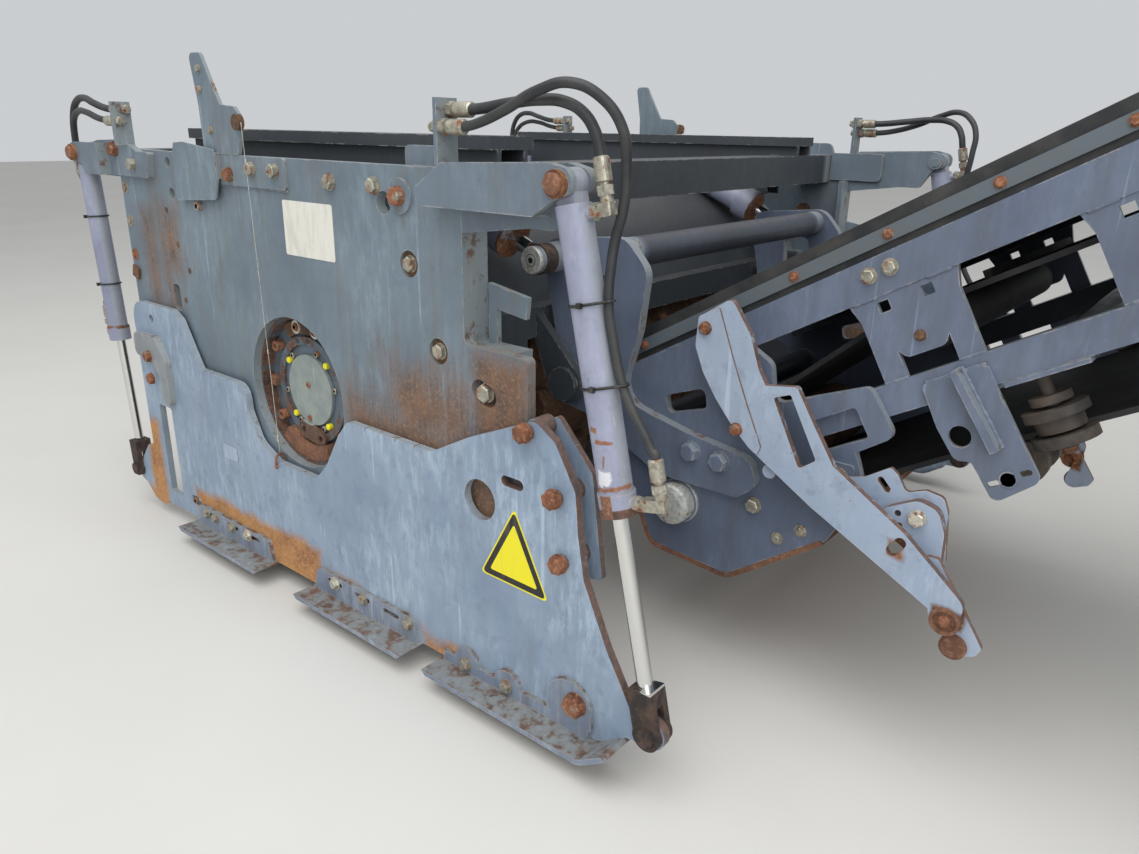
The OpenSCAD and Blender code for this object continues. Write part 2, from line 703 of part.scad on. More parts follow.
// Bell-crank levers at the loader's foot
module lift_levers() {
    color(slate) both_sides() {
        slab(lever_y, lever_t) difference() {
            outline([[525, -248, 40], [770, -225, 60], [838, -300, 50], [820, -450, 60], [770, -625, 60],
                [850, -645, 0], [960, -670, 60], [1150, -698, 40], [1168, -760, 30], [1120, -800, 30],
                [900, -800, 60], [660, -690, 40], [pivot.x - 20, -680, 50], [554, -600, 40],
                [558, -500, 80], [512, -300, 40]]);
            disc(pivot, 30 + run_gap);
            outline([[640, -330, 20], [730, -320, 20], [740, -480, 30], [650, -510, 30]]);
        }
        // Eye pin with its shoulder and cap
        pin(loader_eye, 38, lever_y + lever_t, loader_cylinder_y - eye_half - seat_gap);
        pin(loader_eye, pin_r + 5, loader_cylinder_y - eye_half - seat_gap,
            loader_cylinder_y + eye_half + seat_gap);
        pin(loader_eye, 34, loader_cylinder_y + eye_half + seat_gap, loader_cylinder_y + eye_half + 14);
    }
}
loader_barrel_r = 46;
module loader_barrels() {
    color(lilac) both_sides() translate([loader_rear.x, -loader_cylinder_y, loader_rear.y])
        rotate([0, loader_fall, 0]) difference() {
            union() {
                rotate([90, 0, 0]) cylinder(r = 40, h = 2 * (eye_half - seat_gap), center = true);
                translate([10, 0, 0]) rotate([0, 90, 0]) cylinder(r = eye_half - 1, h = 60);
                translate([66, 0, 0]) rotate([0, 90, 0]) cylinder(r = loader_barrel_r, h = 206);
                translate([226, 0, 0]) rotate([0, 90, 0]) cylinder(r = loader_barrel_r + 12, h = 66);
            }
            rotate([90, 0, 0]) cylinder(r = pin_r + 5 + run_gap, h = 120, center = true);
            translate([100, 0, 0]) rotate([0, 90, 0]) cylinder(r = 20 + run_gap, h = 220);
        }
}
module loader_rods() {
    color(chrome) both_sides() translate([loader_rear.x, -loader_cylinder_y, loader_rear.y])
        rotate([0, loader_fall, 0]) difference() {
            union() {
                translate([180, 0, 0]) rotate([0, 90, 0]) cylinder(r = 20, h = loader_length - 200);
                translate([loader_length, 0, 0]) rotate([90, 0, 0])
                    cylinder(r = 38, h = 2 * (eye_half - seat_gap), center = true);
            }
            translate([loader_length, 0, 0]) rotate([90, 0, 0])
                cylinder(r = pin_r + 5 + 2, h = 120, center = true);
        }
}

// Foot of the loader: side sheets round the tail drum
tail_at = [datum.x + tail.x * cos(incline) - tail.y * sin(incline),
    datum.y + tail.x * sin(incline) + tail.y * cos(incline)];
tail_shaft_r = 25;
module foot_sides() {
    color(frame_blue) both_sides() {
        slab(foot_in, foot_t) difference() {
            outline([[690, -640, 20], [700, -590, 10], [1040, -400, 0], [1165, -470, 30], [1180, -560, 20],
                [1390, -478, 20], [1456, -574, 20], [1378, -628, 0], [1408, -710, 30],
                [1322, -880, 0], [1322, -1100, 0], [812, -1100, 0], [812, -870, 0], [720, -760, 30]]);
            below_shield();
            disc(tail_at, tail_shaft_r + 0.1);
            outline([[890, -600, 15], [1000, -560, 15], [1010, -610, 15], [900, -645, 15]]);
            // Tensioner window
            outline([[1255, -590, 8], [1365, -528, 8], [1402, -588, 8], [1292, -650, 8]]);
        }
        // Bearing cap over the tail shaft
        right_cap(tail_at, 50, foot_in + foot_t, 48);
    }
}
module right_cap(at, r, y, h) {
    translate([at.x, -y, at.y]) rotate([90, 0, 0]) rotate_extrude()
        polygon([[0, 0], [r + 6, 0], [r + 6, 10], [r, 10], [r, h - 14], [r - 12, h - 3], [0, h]]);
}

// Dished shield under the foot, drawn along its inner line
shield_line = [[812, -874, 0], [872, -1005, 40], [1096, -1022, 50], [1322, -856, 0]];
shield_t = 14;
module below_shield() {
    outline(concat([for (p = shield_line) [p.x, p.y + seat_gap, p.z]],
        [[1500, -856, 0], [1500, -1200, 0], [600, -1200, 0], [600, -874, 0]]));
}
module foot_shield() {
    color(rust) slab(-foot_in - foot_t, 2 * (foot_in + foot_t)) outline(concat(shield_line,
        [[shield_line[3].x + 8, shield_line[3].y - 10, 0],
        [shield_line[2].x + 4, shield_line[2].y - shield_t, 60],
        [shield_line[1].x - 10, shield_line[1].y - shield_t, 50],
        [shield_line[0].x - 12, shield_line[0].y - 6, 0]]));
}

// Conveyor frame
upper_start = -430;
lower_start = 60;
rail_end = head_u - 60;
module hollow_rail(u0, u1, v_top, h, wall) {
    difference() {
        translate([u0, -frame_y, v_top - h]) cube([u1 - u0, rail_w, h]);
        translate([u0 - 1, -frame_y + wall, v_top - h + wall])
            cube([u1 - u0 + 2, rail_w - 2 * wall, h - 2 * wall]);
    }
}
module upper_rails() {
    color(frame_blue) conveyor() both_sides() hollow_rail(upper_start, rail_end, 0, upper_h, 6);
}
module lower_rails() {
    color(frame_blue) conveyor() both_sides() hollow_rail(lower_start, rail_end, lower_top, lower_h, 6);
}

// Struts between the rails and a gusset for the carrying idler at each station
strut_w = 50;
strut_t = 12;
strut_in = frame_y - 3 - strut_t;
idler_r = 44;
idler_v = carry_v - belt_t - idler_r - seat_gap;
shaft_small = 12;
gusset_low = idler_v - 34;
module rail_struts() {
    color(frame_blue) conveyor() both_sides() for (i = [0:stations - 1])
        translate([first_station + i * station_pitch, 0, 0]) slab(strut_in, strut_t) difference() {
            union() {
                for (u = [-78, 78]) polygon([[u - strut_w / 2, -upper_h], [u + strut_w / 2, -upper_h],
                    [u + strut_w / 2, lower_top], [u - strut_w / 2, lower_top]]);
                outline([[-115, -upper_h, 0], [115, -upper_h, 0], [100, -130, 20], [40, gusset_low, 20],
                    [-40, gusset_low, 20], [-100, -130, 20]]);
            }
            disc([0, idler_v], shaft_small + 0.1);
            for (u = [-58, 34]) translate([u, -112]) square([24, 22]);
        }
}

// Tubes that tie the two sides of the loader together
module cross_tubes() {
    color(frame_blue) {
        slab(-lever_y, 2 * lever_y) difference() { disc([740, -270], 38); disc([740, -270], 30); }
        slab(-frame_y, frame_w) difference() { disc([775, -735], 40); disc([775, -735], 32); }
        conveyor() for (i = [0, 2, 5])
            slab(-frame_y + rail_w, frame_w - 2 * rail_w) difference() {
                disc([first_station + (i + 0.5) * station_pitch, lower_top - lower_h / 2], 24);
                disc([first_station + (i + 0.5) * station_pitch, lower_top - lower_h / 2], 18);
            }
    }
}

// Belt as one closed loop round the tail and head drums, with bars across it
carry_knee = 250;
// The return run is level between these two bends, past the tail drum and before the head drum
return_bend = 300;
return_knee = head_u - 300;
module belt_loop(t) {
    r = loop_r - t;
    knee_top = [carry_knee, carry_v - t];
    knee_low = [return_knee, return_v + t];
    disc(tail, r);
    disc(head, r);
    bend_low = [return_bend, return_v + t];
    polygon([near_tangent(tail, r, knee_top, 1), knee_top, [head.x + 5, head.y + 0.998 * r],
        near_tangent(head, r, knee_low, 1), knee_low, bend_low, near_tangent(tail, r, bend_low, -1)]);
}
// Where the runs join the wraps round the end drums
wrap_over = 20;
module belt_wraps() {
    color(rubber) conveyor() slab(-belt_w / 2, belt_w) difference() {
        belt_loop(0);
        belt_loop(belt_t);
        translate([tail.x + wrap_over, -1000]) square([head.x - tail.x - 2 * wrap_over, 2000]);
    }
}
module belt_run(side) {
    color(rubber) conveyor() slab(-belt_w / 2, belt_w) intersection() {
        difference() { belt_loop(0); belt_loop(belt_t); }
        polygon([[tail.x + wrap_over, tail.y], [head.x - wrap_over, head.y],
            [head.x - wrap_over, head.y + side * 400], [tail.x + wrap_over, tail.y + side * 400]]);
    }
}
module belt_carrying() { belt_run(1); }
module belt_return() { belt_run(-1); }
bar_h = 18;
bar_t = 14;
bar_pitch = station_pitch / 2;
module belt_bars() {
    color(rubber) conveyor() for (u = [first_station + bar_pitch / 2:bar_pitch:return_knee - bar_t],
        v = [carry_v, return_v - bar_h])
        translate([u, -belt_w / 2 + 40, v]) cube([bar_t, belt_w - 80, bar_h]);
}
module end_drum(at, r, shaft, half) {
    slab(-belt_w / 2, belt_w) disc(at, r);
    slab(-half, 2 * half) disc(at, shaft);
}
module belt_drums() {
    color(steel) conveyor() {
        end_drum(tail, loop_r - belt_t - seat_gap, tail_shaft_r, frame_y + foot_t - 1);
        end_drum(head, loop_r - belt_t - seat_gap, tail_shaft_r, frame_y + 10);
    }
}
module carrying_idlers() {
    color(rubber) conveyor() for (i = [0:stations - 1])
        end_drum([first_station + i * station_pitch, idler_v], idler_r, shaft_small, strut_in + strut_t);
}

// Brackets under the lower rails for the return idlers and their rubber discs
drop_u = 59;
return_r = 45;
return_idler_v = return_v - return_r - seat_gap;
drop_t = 10;
// Guide rollers for the edges of the return run: stations, place and [radius, top, height] of the discs
guided = [0, 3, 5];
guide_u = 170;
guide_y = belt_w / 2 + 64;
guide_plate_v = lower_top - lower_h - seat_gap - 10;
guide_discs = [[38, -384, 16], [59, -410, 18], [44, -438, 28], [59, -464, 20]];
module drop_brackets() {
    color(frame_blue) conveyor() both_sides() {
        for (i = [0:stations - 1]) translate([first_station + i * station_pitch, 0, 0]) {
            slab(frame_y, drop_t) difference() {
                outline([[-30, -275, 10], [100, -275, 10], [103, -346, 0], [114, -520, 18], [16, -541, 15],
                    [5, -450, 14], [-24, -440, 20], [-33, -367, 30]]);
                disc([3, -396], 22);
                disc([drop_u, return_idler_v], shaft_small + 0.1);
                for (p = [[29, -503], [93, -497]]) long_hole(p, 12, 6);
            }
            slab(frame_y + drop_t, 28) polygon([[38, -268], [54, -263], [70, -438], [54, -440]]);
        }
        for (i = guided) translate([first_station + i * station_pitch + guide_u, 0, 0])
            translate([-56, -frame_y - 6, guide_plate_v]) cube([150, frame_y + 42 - guide_y, 10]);
    }
}
module return_idlers() {
    color(rubber) conveyor() {
        for (i = [0:stations - 1]) translate([first_station + drop_u + i * station_pitch, 0, 0]) {
            slab(-frame_y - drop_t, frame_w + 2 * drop_t) disc([0, return_idler_v], shaft_small);
            for (y = [-400:100:400]) slab(y - 15, 30) disc([0, return_idler_v], return_r);
        }
        both_sides() for (i = guided)
            translate([first_station + i * station_pitch + guide_u, -guide_y, 0]) {
                for (d = guide_discs) translate([0, 0, d[1]]) cylinder(r = d[0], h = d[2]);
                translate([0, 0, -474]) cylinder(r = shaft_small, h = guide_plate_v - seat_gap + 474);
            }
    }
}

// Curved arms outside the foot, with a bushing at the lower end and a bent bracket behind
module strap_outline() {
    outline([[1440, -752, 20], [1470, -716, 15], [1530, -683, 30], [1572, -694, 30],
        [1590, -740, 30], [1592, -826, 6], [1556, -818, 15]]);
}
arm_y = foot_in + foot_t + arm_clear;
guard_t = 16;
guard_bush = [1628, -906];
module guard_arms() {
    color(plate_blue) both_sides() {
        slab(arm_y, guard_t) difference() {
            outline([[1020, -370, 10], [1092, -323, 15], [1144, -396, 30], [1170, -468, 40], [1190, -500, 0],
                [1262, -489, 8], [1300, -550, 0], [1360, -642, 10], [1525, -746, 0], [1659, -860, 30],
                [1650, -935, 26], [1600, -925, 20], [1592, -890, 0], [1319, -746, 0], [1185, -664, 40],
                [1164, -648, 20], [1072, -555, 80], [1010, -440, 80]]);
            outline([[1211, -523, 6], [1250, -508, 6], [1322, -640, 6], [1285, -668, 6]]);
            long_hole([1512, -779], 26, 12, 56);
            disc(guard_bush, 15);
        }
        // Standoffs and the plate that bolts the arm to the foot
        for (p = [[1210, -700], [1300, -705]]) pin(p, 16, foot_in + foot_t, arm_y);
        slab(arm_y - 10, 10 + guard_t) difference() { disc(guard_bush, 28); disc(guard_bush, 15); }
        // Bent bracket behind the arm: plate on the foot, strap, face plate and the strip with its bush
        slab(foot_in + foot_t, 10) difference() {
            outline([[1340, -690, 10], [1409, -671, 10], [1460, -636, 8], [1476, -648, 8], [1497, -682, 12],
                [1536, -666, 15], [1572, -672, 15], [1584, -700, 20], [1596, -812, 15], [1580, -826, 10],
                [1500, -780, 30], [1340, -740, 10]]);
            long_hole([1451, -677], 24, 7, -47);
        }
        slab(foot_in + foot_t + 10, 22) difference() {
            strap_outline();
            translate([-7, -7]) strap_outline();
            polygon([[1400, -700], [1566, -760], [1566, -900], [1400, -900]]);
        }
        slab(foot_in + foot_t + 24, 8) difference() {
            strap_outline();
            disc([1494, -722], 7);
            disc([1500, -748], 7);
        }
        slab(foot_in + foot_t + 32, 13) {
            outline([[1556, -792, 8], [1590, -790, 8], [1700, -955, 10], [1690, -975, 15], [1650, -992, 20],
                [1622, -975, 20], [1640, -905, 0]]);
            disc([1647, -968], 22);
        }
    }
}

// Head of the conveyor
module head_plates() {
    color(frame_blue) conveyor() both_sides() slab(frame_y, 10) difference() {
        outline([[head_u - 260, 10, 0], [head_u + 60, 10, 40], [head_u + 90, -120, 60],
            [head_u + 40, -330, 60], [head_u - 260, -330, 0]]);
        disc(head, tail_shaft_r + 0.1);
    }
}

// Rubber sheet over the belt, hung on both sides between a lip on the rail and a strip outside it
cover_start = -330;
cover_h = 72;
cover_t = 6;
cover_y = frame_y - 16;
module belt_covers() {
    color(rubber) conveyor() translate([cover_start, 0, 0]) rotate([90, 0, 90])
        linear_extrude(rail_end - cover_start) difference() {
            union() {
                translate([-cover_y, 0]) square([2 * cover_y, cover_h]);
                translate([-cover_y - cover_t, 16]) square([2 * (cover_y + cover_t), 30]);
            }
            translate([-cover_y + cover_t, -1])
                square([2 * (cover_y - cover_t), cover_h - cover_t + 1]);
        }
}

wall_right();
wall_left();
drum_hood();
front_frame();
cross_beams();
top_rails();
front_arms();
rear_brackets();
wall_plates();
bearing_carriers();
cylinder_lugs();
scraper_guides();
scraper_barrels();
drum_tube();
tool_holders();
picks();
side_plate_right();
side_plate_left();
clamp_plate_right();
clamp_plate_left();
roller_plate_right();
roller_plate_left();
skids_right();
skids_left();
front_barrel_right();
front_barrel_left();
front_rod_right();
front_rod_left();
rear_barrel_right();
rear_barrel_left();
rear_rod_right();
rear_rod_left();
scraper_board();
scraper_blade();
scraper_rods();
lift_levers();
foot_sides();
foot_shield();
upper_rails();
lower_rails();
rail_struts();
cross_tubes();
belt_carrying();
belt_return();
belt_wraps();
belt_bars();
belt_drums();
carrying_idlers();
return_idlers();
drop_brackets();
guard_arms();
head_plates();
belt_covers();
loader_barrels();
loader_rods();
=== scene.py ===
"""Looks of a cold planer's milling unit: paint, rust, fasteners, hoses, signs, floor and light."""
import json
import math
import random

import bmesh
import bpy
from mathutils import Matrix, Vector


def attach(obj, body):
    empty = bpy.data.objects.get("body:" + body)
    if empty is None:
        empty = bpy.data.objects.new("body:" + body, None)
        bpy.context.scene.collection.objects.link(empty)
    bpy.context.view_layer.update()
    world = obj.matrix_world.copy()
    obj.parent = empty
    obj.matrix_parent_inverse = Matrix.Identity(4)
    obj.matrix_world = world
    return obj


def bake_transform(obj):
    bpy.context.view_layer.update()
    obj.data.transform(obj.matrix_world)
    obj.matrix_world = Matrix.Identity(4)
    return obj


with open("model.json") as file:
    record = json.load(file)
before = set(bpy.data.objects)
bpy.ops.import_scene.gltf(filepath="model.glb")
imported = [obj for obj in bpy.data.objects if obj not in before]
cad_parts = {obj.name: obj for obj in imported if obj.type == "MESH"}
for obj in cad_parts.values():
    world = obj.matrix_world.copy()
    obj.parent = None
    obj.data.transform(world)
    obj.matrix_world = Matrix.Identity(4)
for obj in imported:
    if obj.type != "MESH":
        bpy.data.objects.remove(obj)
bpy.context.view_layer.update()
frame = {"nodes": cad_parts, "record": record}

nodes = frame["nodes"]
MM = 0.001
GROUND = -1285 * MM

# Planes that the pieces sit on, as distances from the middle plane, in mm
CARRIER_FACE = 950
HUB_RING_FACE = 964
HUB_COVER_FACE = 966
WALL_FACE = 1010
STRIP_FACE = 1018
SENSOR_FACE = 1020
BRACKET_FACE = 1030
CYLINDER_PLANE = 1030
PLATE_FACE = 1040
SKID_FACE = 1052
CLAMP_FACE = 1060
STRUT_FACE = 522
COVER_FACE = 515
RAIL_FACE = 525
DROP_FACE = 535
FOOT_FACE = 545.3
LEVER_FACE = 572.6
STRAP_FACE = 577.3
LUG_FACE = 590.3
GUARD_FACE = 616.3
CAP_FACE = 672.9
HEAD_FACE = 1077
SIDES = (("right", -1), ("left", 1))

# The drum's axis and the conveyor: the start of its coordinates, its slope and its idler stations
DRUM_Z = -677
CONVEYOR_START = (1078, -372)
SLOPE = math.radians(29.5)
SQUARE_DOWN = (math.sin(SLOPE), 0, -math.cos(SLOPE))
STATIONS = [345 + 443 * i for i in range(7)]


# Camera at the photograph's place, with its tilt; angles in degrees, the place in metres
CAMERA_AT = (1.992, -2.258, 0.020)
CAMERA_AZIMUTH = 39.41
CAMERA_ELEVATION = 19.29
CAMERA_ROLL = 0.95
PHOTO_WIDTH = 1139
FOCAL_PIXELS = 855
SENSOR_WIDTH = 36


def make_camera():
    azimuth, elevation = math.radians(CAMERA_AZIMUTH), math.radians(CAMERA_ELEVATION)
    look = Vector((-math.sin(azimuth) * math.cos(elevation),
                   math.cos(azimuth) * math.cos(elevation), -math.sin(elevation)))
    data = bpy.data.cameras.new("camera")
    data.sensor_width = SENSOR_WIDTH
    data.lens = SENSOR_WIDTH * FOCAL_PIXELS / PHOTO_WIDTH
    data.clip_start, data.clip_end = 0.05, 100
    camera = bpy.data.objects.new("camera", data)
    camera.rotation_mode = "QUATERNION"
    camera.location = CAMERA_AT
    roll = Matrix.Rotation(math.radians(CAMERA_ROLL), 3, "Z").to_quaternion()
    camera.rotation_quaternion = look.to_track_quat("-Z", "Y") @ roll
    bpy.context.scene.collection.objects.link(camera)
    bpy.context.scene.camera = camera


# Materials

# A distance in metres past the whole part, for a limit that nothing reaches
BEYOND = 9.0
# Faces nearer to the middle plane than this, in metres, lie inside the unit
INSIDE = 0.94
# Rim of a masked area that has to look sharp, in metres
SHARP = 0.0005

# Shades of rust, from dark to pale
BROWN_RUST = ("#4f3424", "#86573a", "#a67850")
ORANGE_RUST = ("#936745", "#b58453", "#c7996a")
TAN_RUST = ("#5b4435", "#7c5a41", "#977553")
EDGE_RUST = ("#40322c", "#6a4a3b", "#83604a")
PIN_RUST = ("#6f4b3a", "#8f634a", "#a67c62")
HUB_RUST = ("#3a2e29", "#66483a", "#866754")
BOLT_RUST = ("#5e3a28", "#8b5a40", "#a9775a")


def colour(code):
    """Linear colour of an sRGB hex code."""
    values = [int(code[i:i + 2], 16) / 255 for i in (1, 3, 5)]
    return tuple(v / 12.92 if v <= 0.04045 else ((v + 0.055) / 1.055) ** 2.4 for v in values) + (1,)


def add(tree, kind, inputs=None, output=0, **settings):
    """Adds a node with its settings and gives one of its outputs; inputs given as sockets are linked."""
    node = tree.nodes.new("ShaderNode" + kind)
    for key, value in settings.items():
        setattr(node, key, value)
    for key, value in (inputs or {}).items():
        if isinstance(value, bpy.types.NodeSocket):
            tree.links.new(value, node.inputs[key])
        else:
            node.inputs[key].default_value = value
    return node.outputs[output] if node.outputs else None


def start_material(name):
    """A new material, its empty node tree and the Object coordinates that its patterns read."""
    material = bpy.data.materials.new(name)
    material.use_nodes = True
    tree = material.node_tree
    tree.nodes.clear()
    return material, tree, add(tree, "TexCoord", output="Object")


def end_material(material, surface, relief=None, **inputs):
    """Ends the tree in its shader; relief is a height pattern, its strength and its depth in metres."""
    tree = material.node_tree
    inputs["Base Color"] = surface
    if relief:
        height, strength, depth = relief
        inputs["Normal"] = add(tree, "Bump", {"Strength": strength, "Distance": depth, "Height": height})
    shader = add(tree, "BsdfPrincipled", inputs)
    add(tree, "OutputMaterial", {"Surface": shader}, is_active_output=True)
    return material


def grain(tree, at, scale, stretch=(1, 1, 1), detail=4, roughness=0.6, lean=0.0):
    """Noise with a scale in lumps per metre, stretched per axis and leaning over in the XZ plane."""
    turn = (0, math.radians(lean), 0)
    moved = add(tree, "Mapping", {"Vector": at, "Scale": stretch, "Rotation": turn})
    return add(tree, "TexNoise", {"Vector": moved, "Scale": scale, "Detail": detail,
                                  "Roughness": roughness})


def overlap(tree, *masks):
    """Product of masks, each a socket or a number."""
    total = masks[0]
    for mask in masks[1:]:
        total = add(tree, "Math", {0: total, 1: mask}, operation="MULTIPLY", use_clamp=True)
    return total


def either(tree, *masks):
    """Sum of masks, held at 1."""
    total = masks[0]
    for mask in masks[1:]:
        total = add(tree, "Math", {0: total, 1: mask}, operation="ADD", use_clamp=True)
    return total


def within(tree, value, *rims):
    """Mask of the values inside all rims, each given as where it is 0 and where it is 1."""
    return overlap(tree, *[add(tree, "MapRange", {0: value, 1: none, 2: full}, clamp=True)
                           for none, full in rims])


def patches(tree, at, scale, none, full, **looks):
    """Mask of the lumps of a grain, with its rim between two values of the grain."""
    return within(tree, grain(tree, at, scale, **looks), (none, full))


def coats(tree, bottom, *layers):
    """Colours laid one over the other, each given as its mask and its colour."""
    for mask, top in layers:
        bottom = add(tree, "Mix", {0: mask, 6: bottom, 7: top}, 2, data_type="RGBA")
    return bottom


def edge_mask(tree, radius):
    """1 on sharp edges: where the rounded normal leaves the true one."""
    soft = add(tree, "Bevel", {"Radius": radius}, samples=4)
    true = add(tree, "NewGeometry", output="Normal")
    same = add(tree, "VectorMath", {0: soft, 1: true}, "Value", operation="DOT_PRODUCT")
    return within(tree, same, (0.995, 0.86))


def size_along(tree, vector, axis):
    """Size of a vector's part along an axis, whatever its sign."""
    part = add(tree, "SeparateXYZ", {0: vector}, axis)
    return add(tree, "Math", {0: part}, operation="ABSOLUTE")


def area(tree, at, spot, ragged):
    """Mask of a box given by its X and Z limits in mm; its rim wanders with the ragged pattern."""
    x0, x1, z0, z1, wander, soft = spot
    centre = ((x0 + x1) / 2 * MM, 0, (z0 + z1) / 2 * MM)
    half = ((x1 - x0) / 2 * MM, 0, (z1 - z0) / 2 * MM)
    offset = add(tree, "VectorMath", {0: at, 1: centre}, operation="SUBTRACT")
    offset = add(tree, "VectorMath", {0: offset}, operation="ABSOLUTE")
    offset = add(tree, "VectorMath", {0: offset, 1: half}, operation="SUBTRACT")
    off_x, off_z = (add(tree, "SeparateXYZ", {0: offset}, axis) for axis in (0, 2))
    outside = add(tree, "Math", {0: off_x, 1: off_z}, operation="MAXIMUM")
    moved = add(tree, "Math", {0: ragged, 1: wander * MM, 2: outside}, operation="MULTIPLY_ADD")
    rim = wander * MM / 2
    return within(tree, moved, (rim + soft * MM, rim - soft * MM))


def areas(tree, at, spots, ragged):
    """Mask of several such boxes."""
    total = 0.0
    for spot in spots:
        one = area(tree, at, spot, ragged)
        total = add(tree, "Math", {0: one, 1: total}, operation="MAXIMUM")
    return total


def rust_colour(tree, at, shades):
    dark, middle, pale = (colour(shade) for shade in shades)
    broad = patches(tree, at, 14, 0.36, 0.60, detail=6, roughness=0.7)
    fine = patches(tree, at, 120, 0.50, 0.74, detail=3)
    return coats(tree, dark, (broad, middle), (fine, pale))


def rubbed_enamel(tree, at, base, pale, rub):
    """Enamel in two near shades, with pale rub marks, scratches and bruises."""
    tint = grain(tree, at, 3.2, detail=5)
    paler = coats(tree, colour(base), (0.4, colour(pale)))
    coat = coats(tree, colour(base), (within(tree, tint, (0.35, 0.68)), paler))
    # Darker bruises about 30 mm across, where the plate has been knocked
    bruise = overlap(tree, patches(tree, at, 24, 0.56, 0.68, detail=2), 0.22)
    # Brush-like rub marks 8 to 20 mm wide, nearly level, and long scratches
    marks = patches(tree, at, 46, 0.47, 0.62, stretch=(1, 1, 0.28), detail=9, roughness=0.75, lean=72)
    marks = overlap(tree, marks, patches(tree, at, 3.4, 0.42, 0.60, detail=4), rub)
    scratch = patches(tree, at, 60, 0.69, 0.71, stretch=(1, 1, 0.02), detail=1, lean=67)
    scratch = overlap(tree, scratch, within(tree, tint, (0.48, 0.56)), 0.7)
    return coats(tree, coat, (bruise, colour("#59627a")), (either(tree, marks, scratch), colour(pale)))


def flame_cut(tree, at, coat, blotch, facing, inner, rusted, rusty_from):
    """The coat with grey and rusty patches on the faces that don't look sideways, outside inner."""
    cut_face = overlap(tree, within(tree, size_along(tree, facing, 1), (0.6, 0.4)),
                       within(tree, size_along(tree, at, 1), (inner - 0.01, inner)))
    ahead = within(tree, add(tree, "SeparateXYZ", {0: at}), (rusty_from, rusty_from + 0.1))
    ahead = overlap(tree, ahead, cut_face, within(tree, blotch, (0.25, 0.40)))
    rust = overlap(tree, cut_face, within(tree, blotch, (0.72 - 0.4 * rusted, 0.80 - 0.4 * rusted)))
    rust = overlap(tree, either(tree, rust, ahead), 0.9)
    return coats(tree, coat, (overlap(tree, cut_face, 0.4), colour("#9ba19d")),
                 (rust, rust_colour(tree, at, EDGE_RUST)))


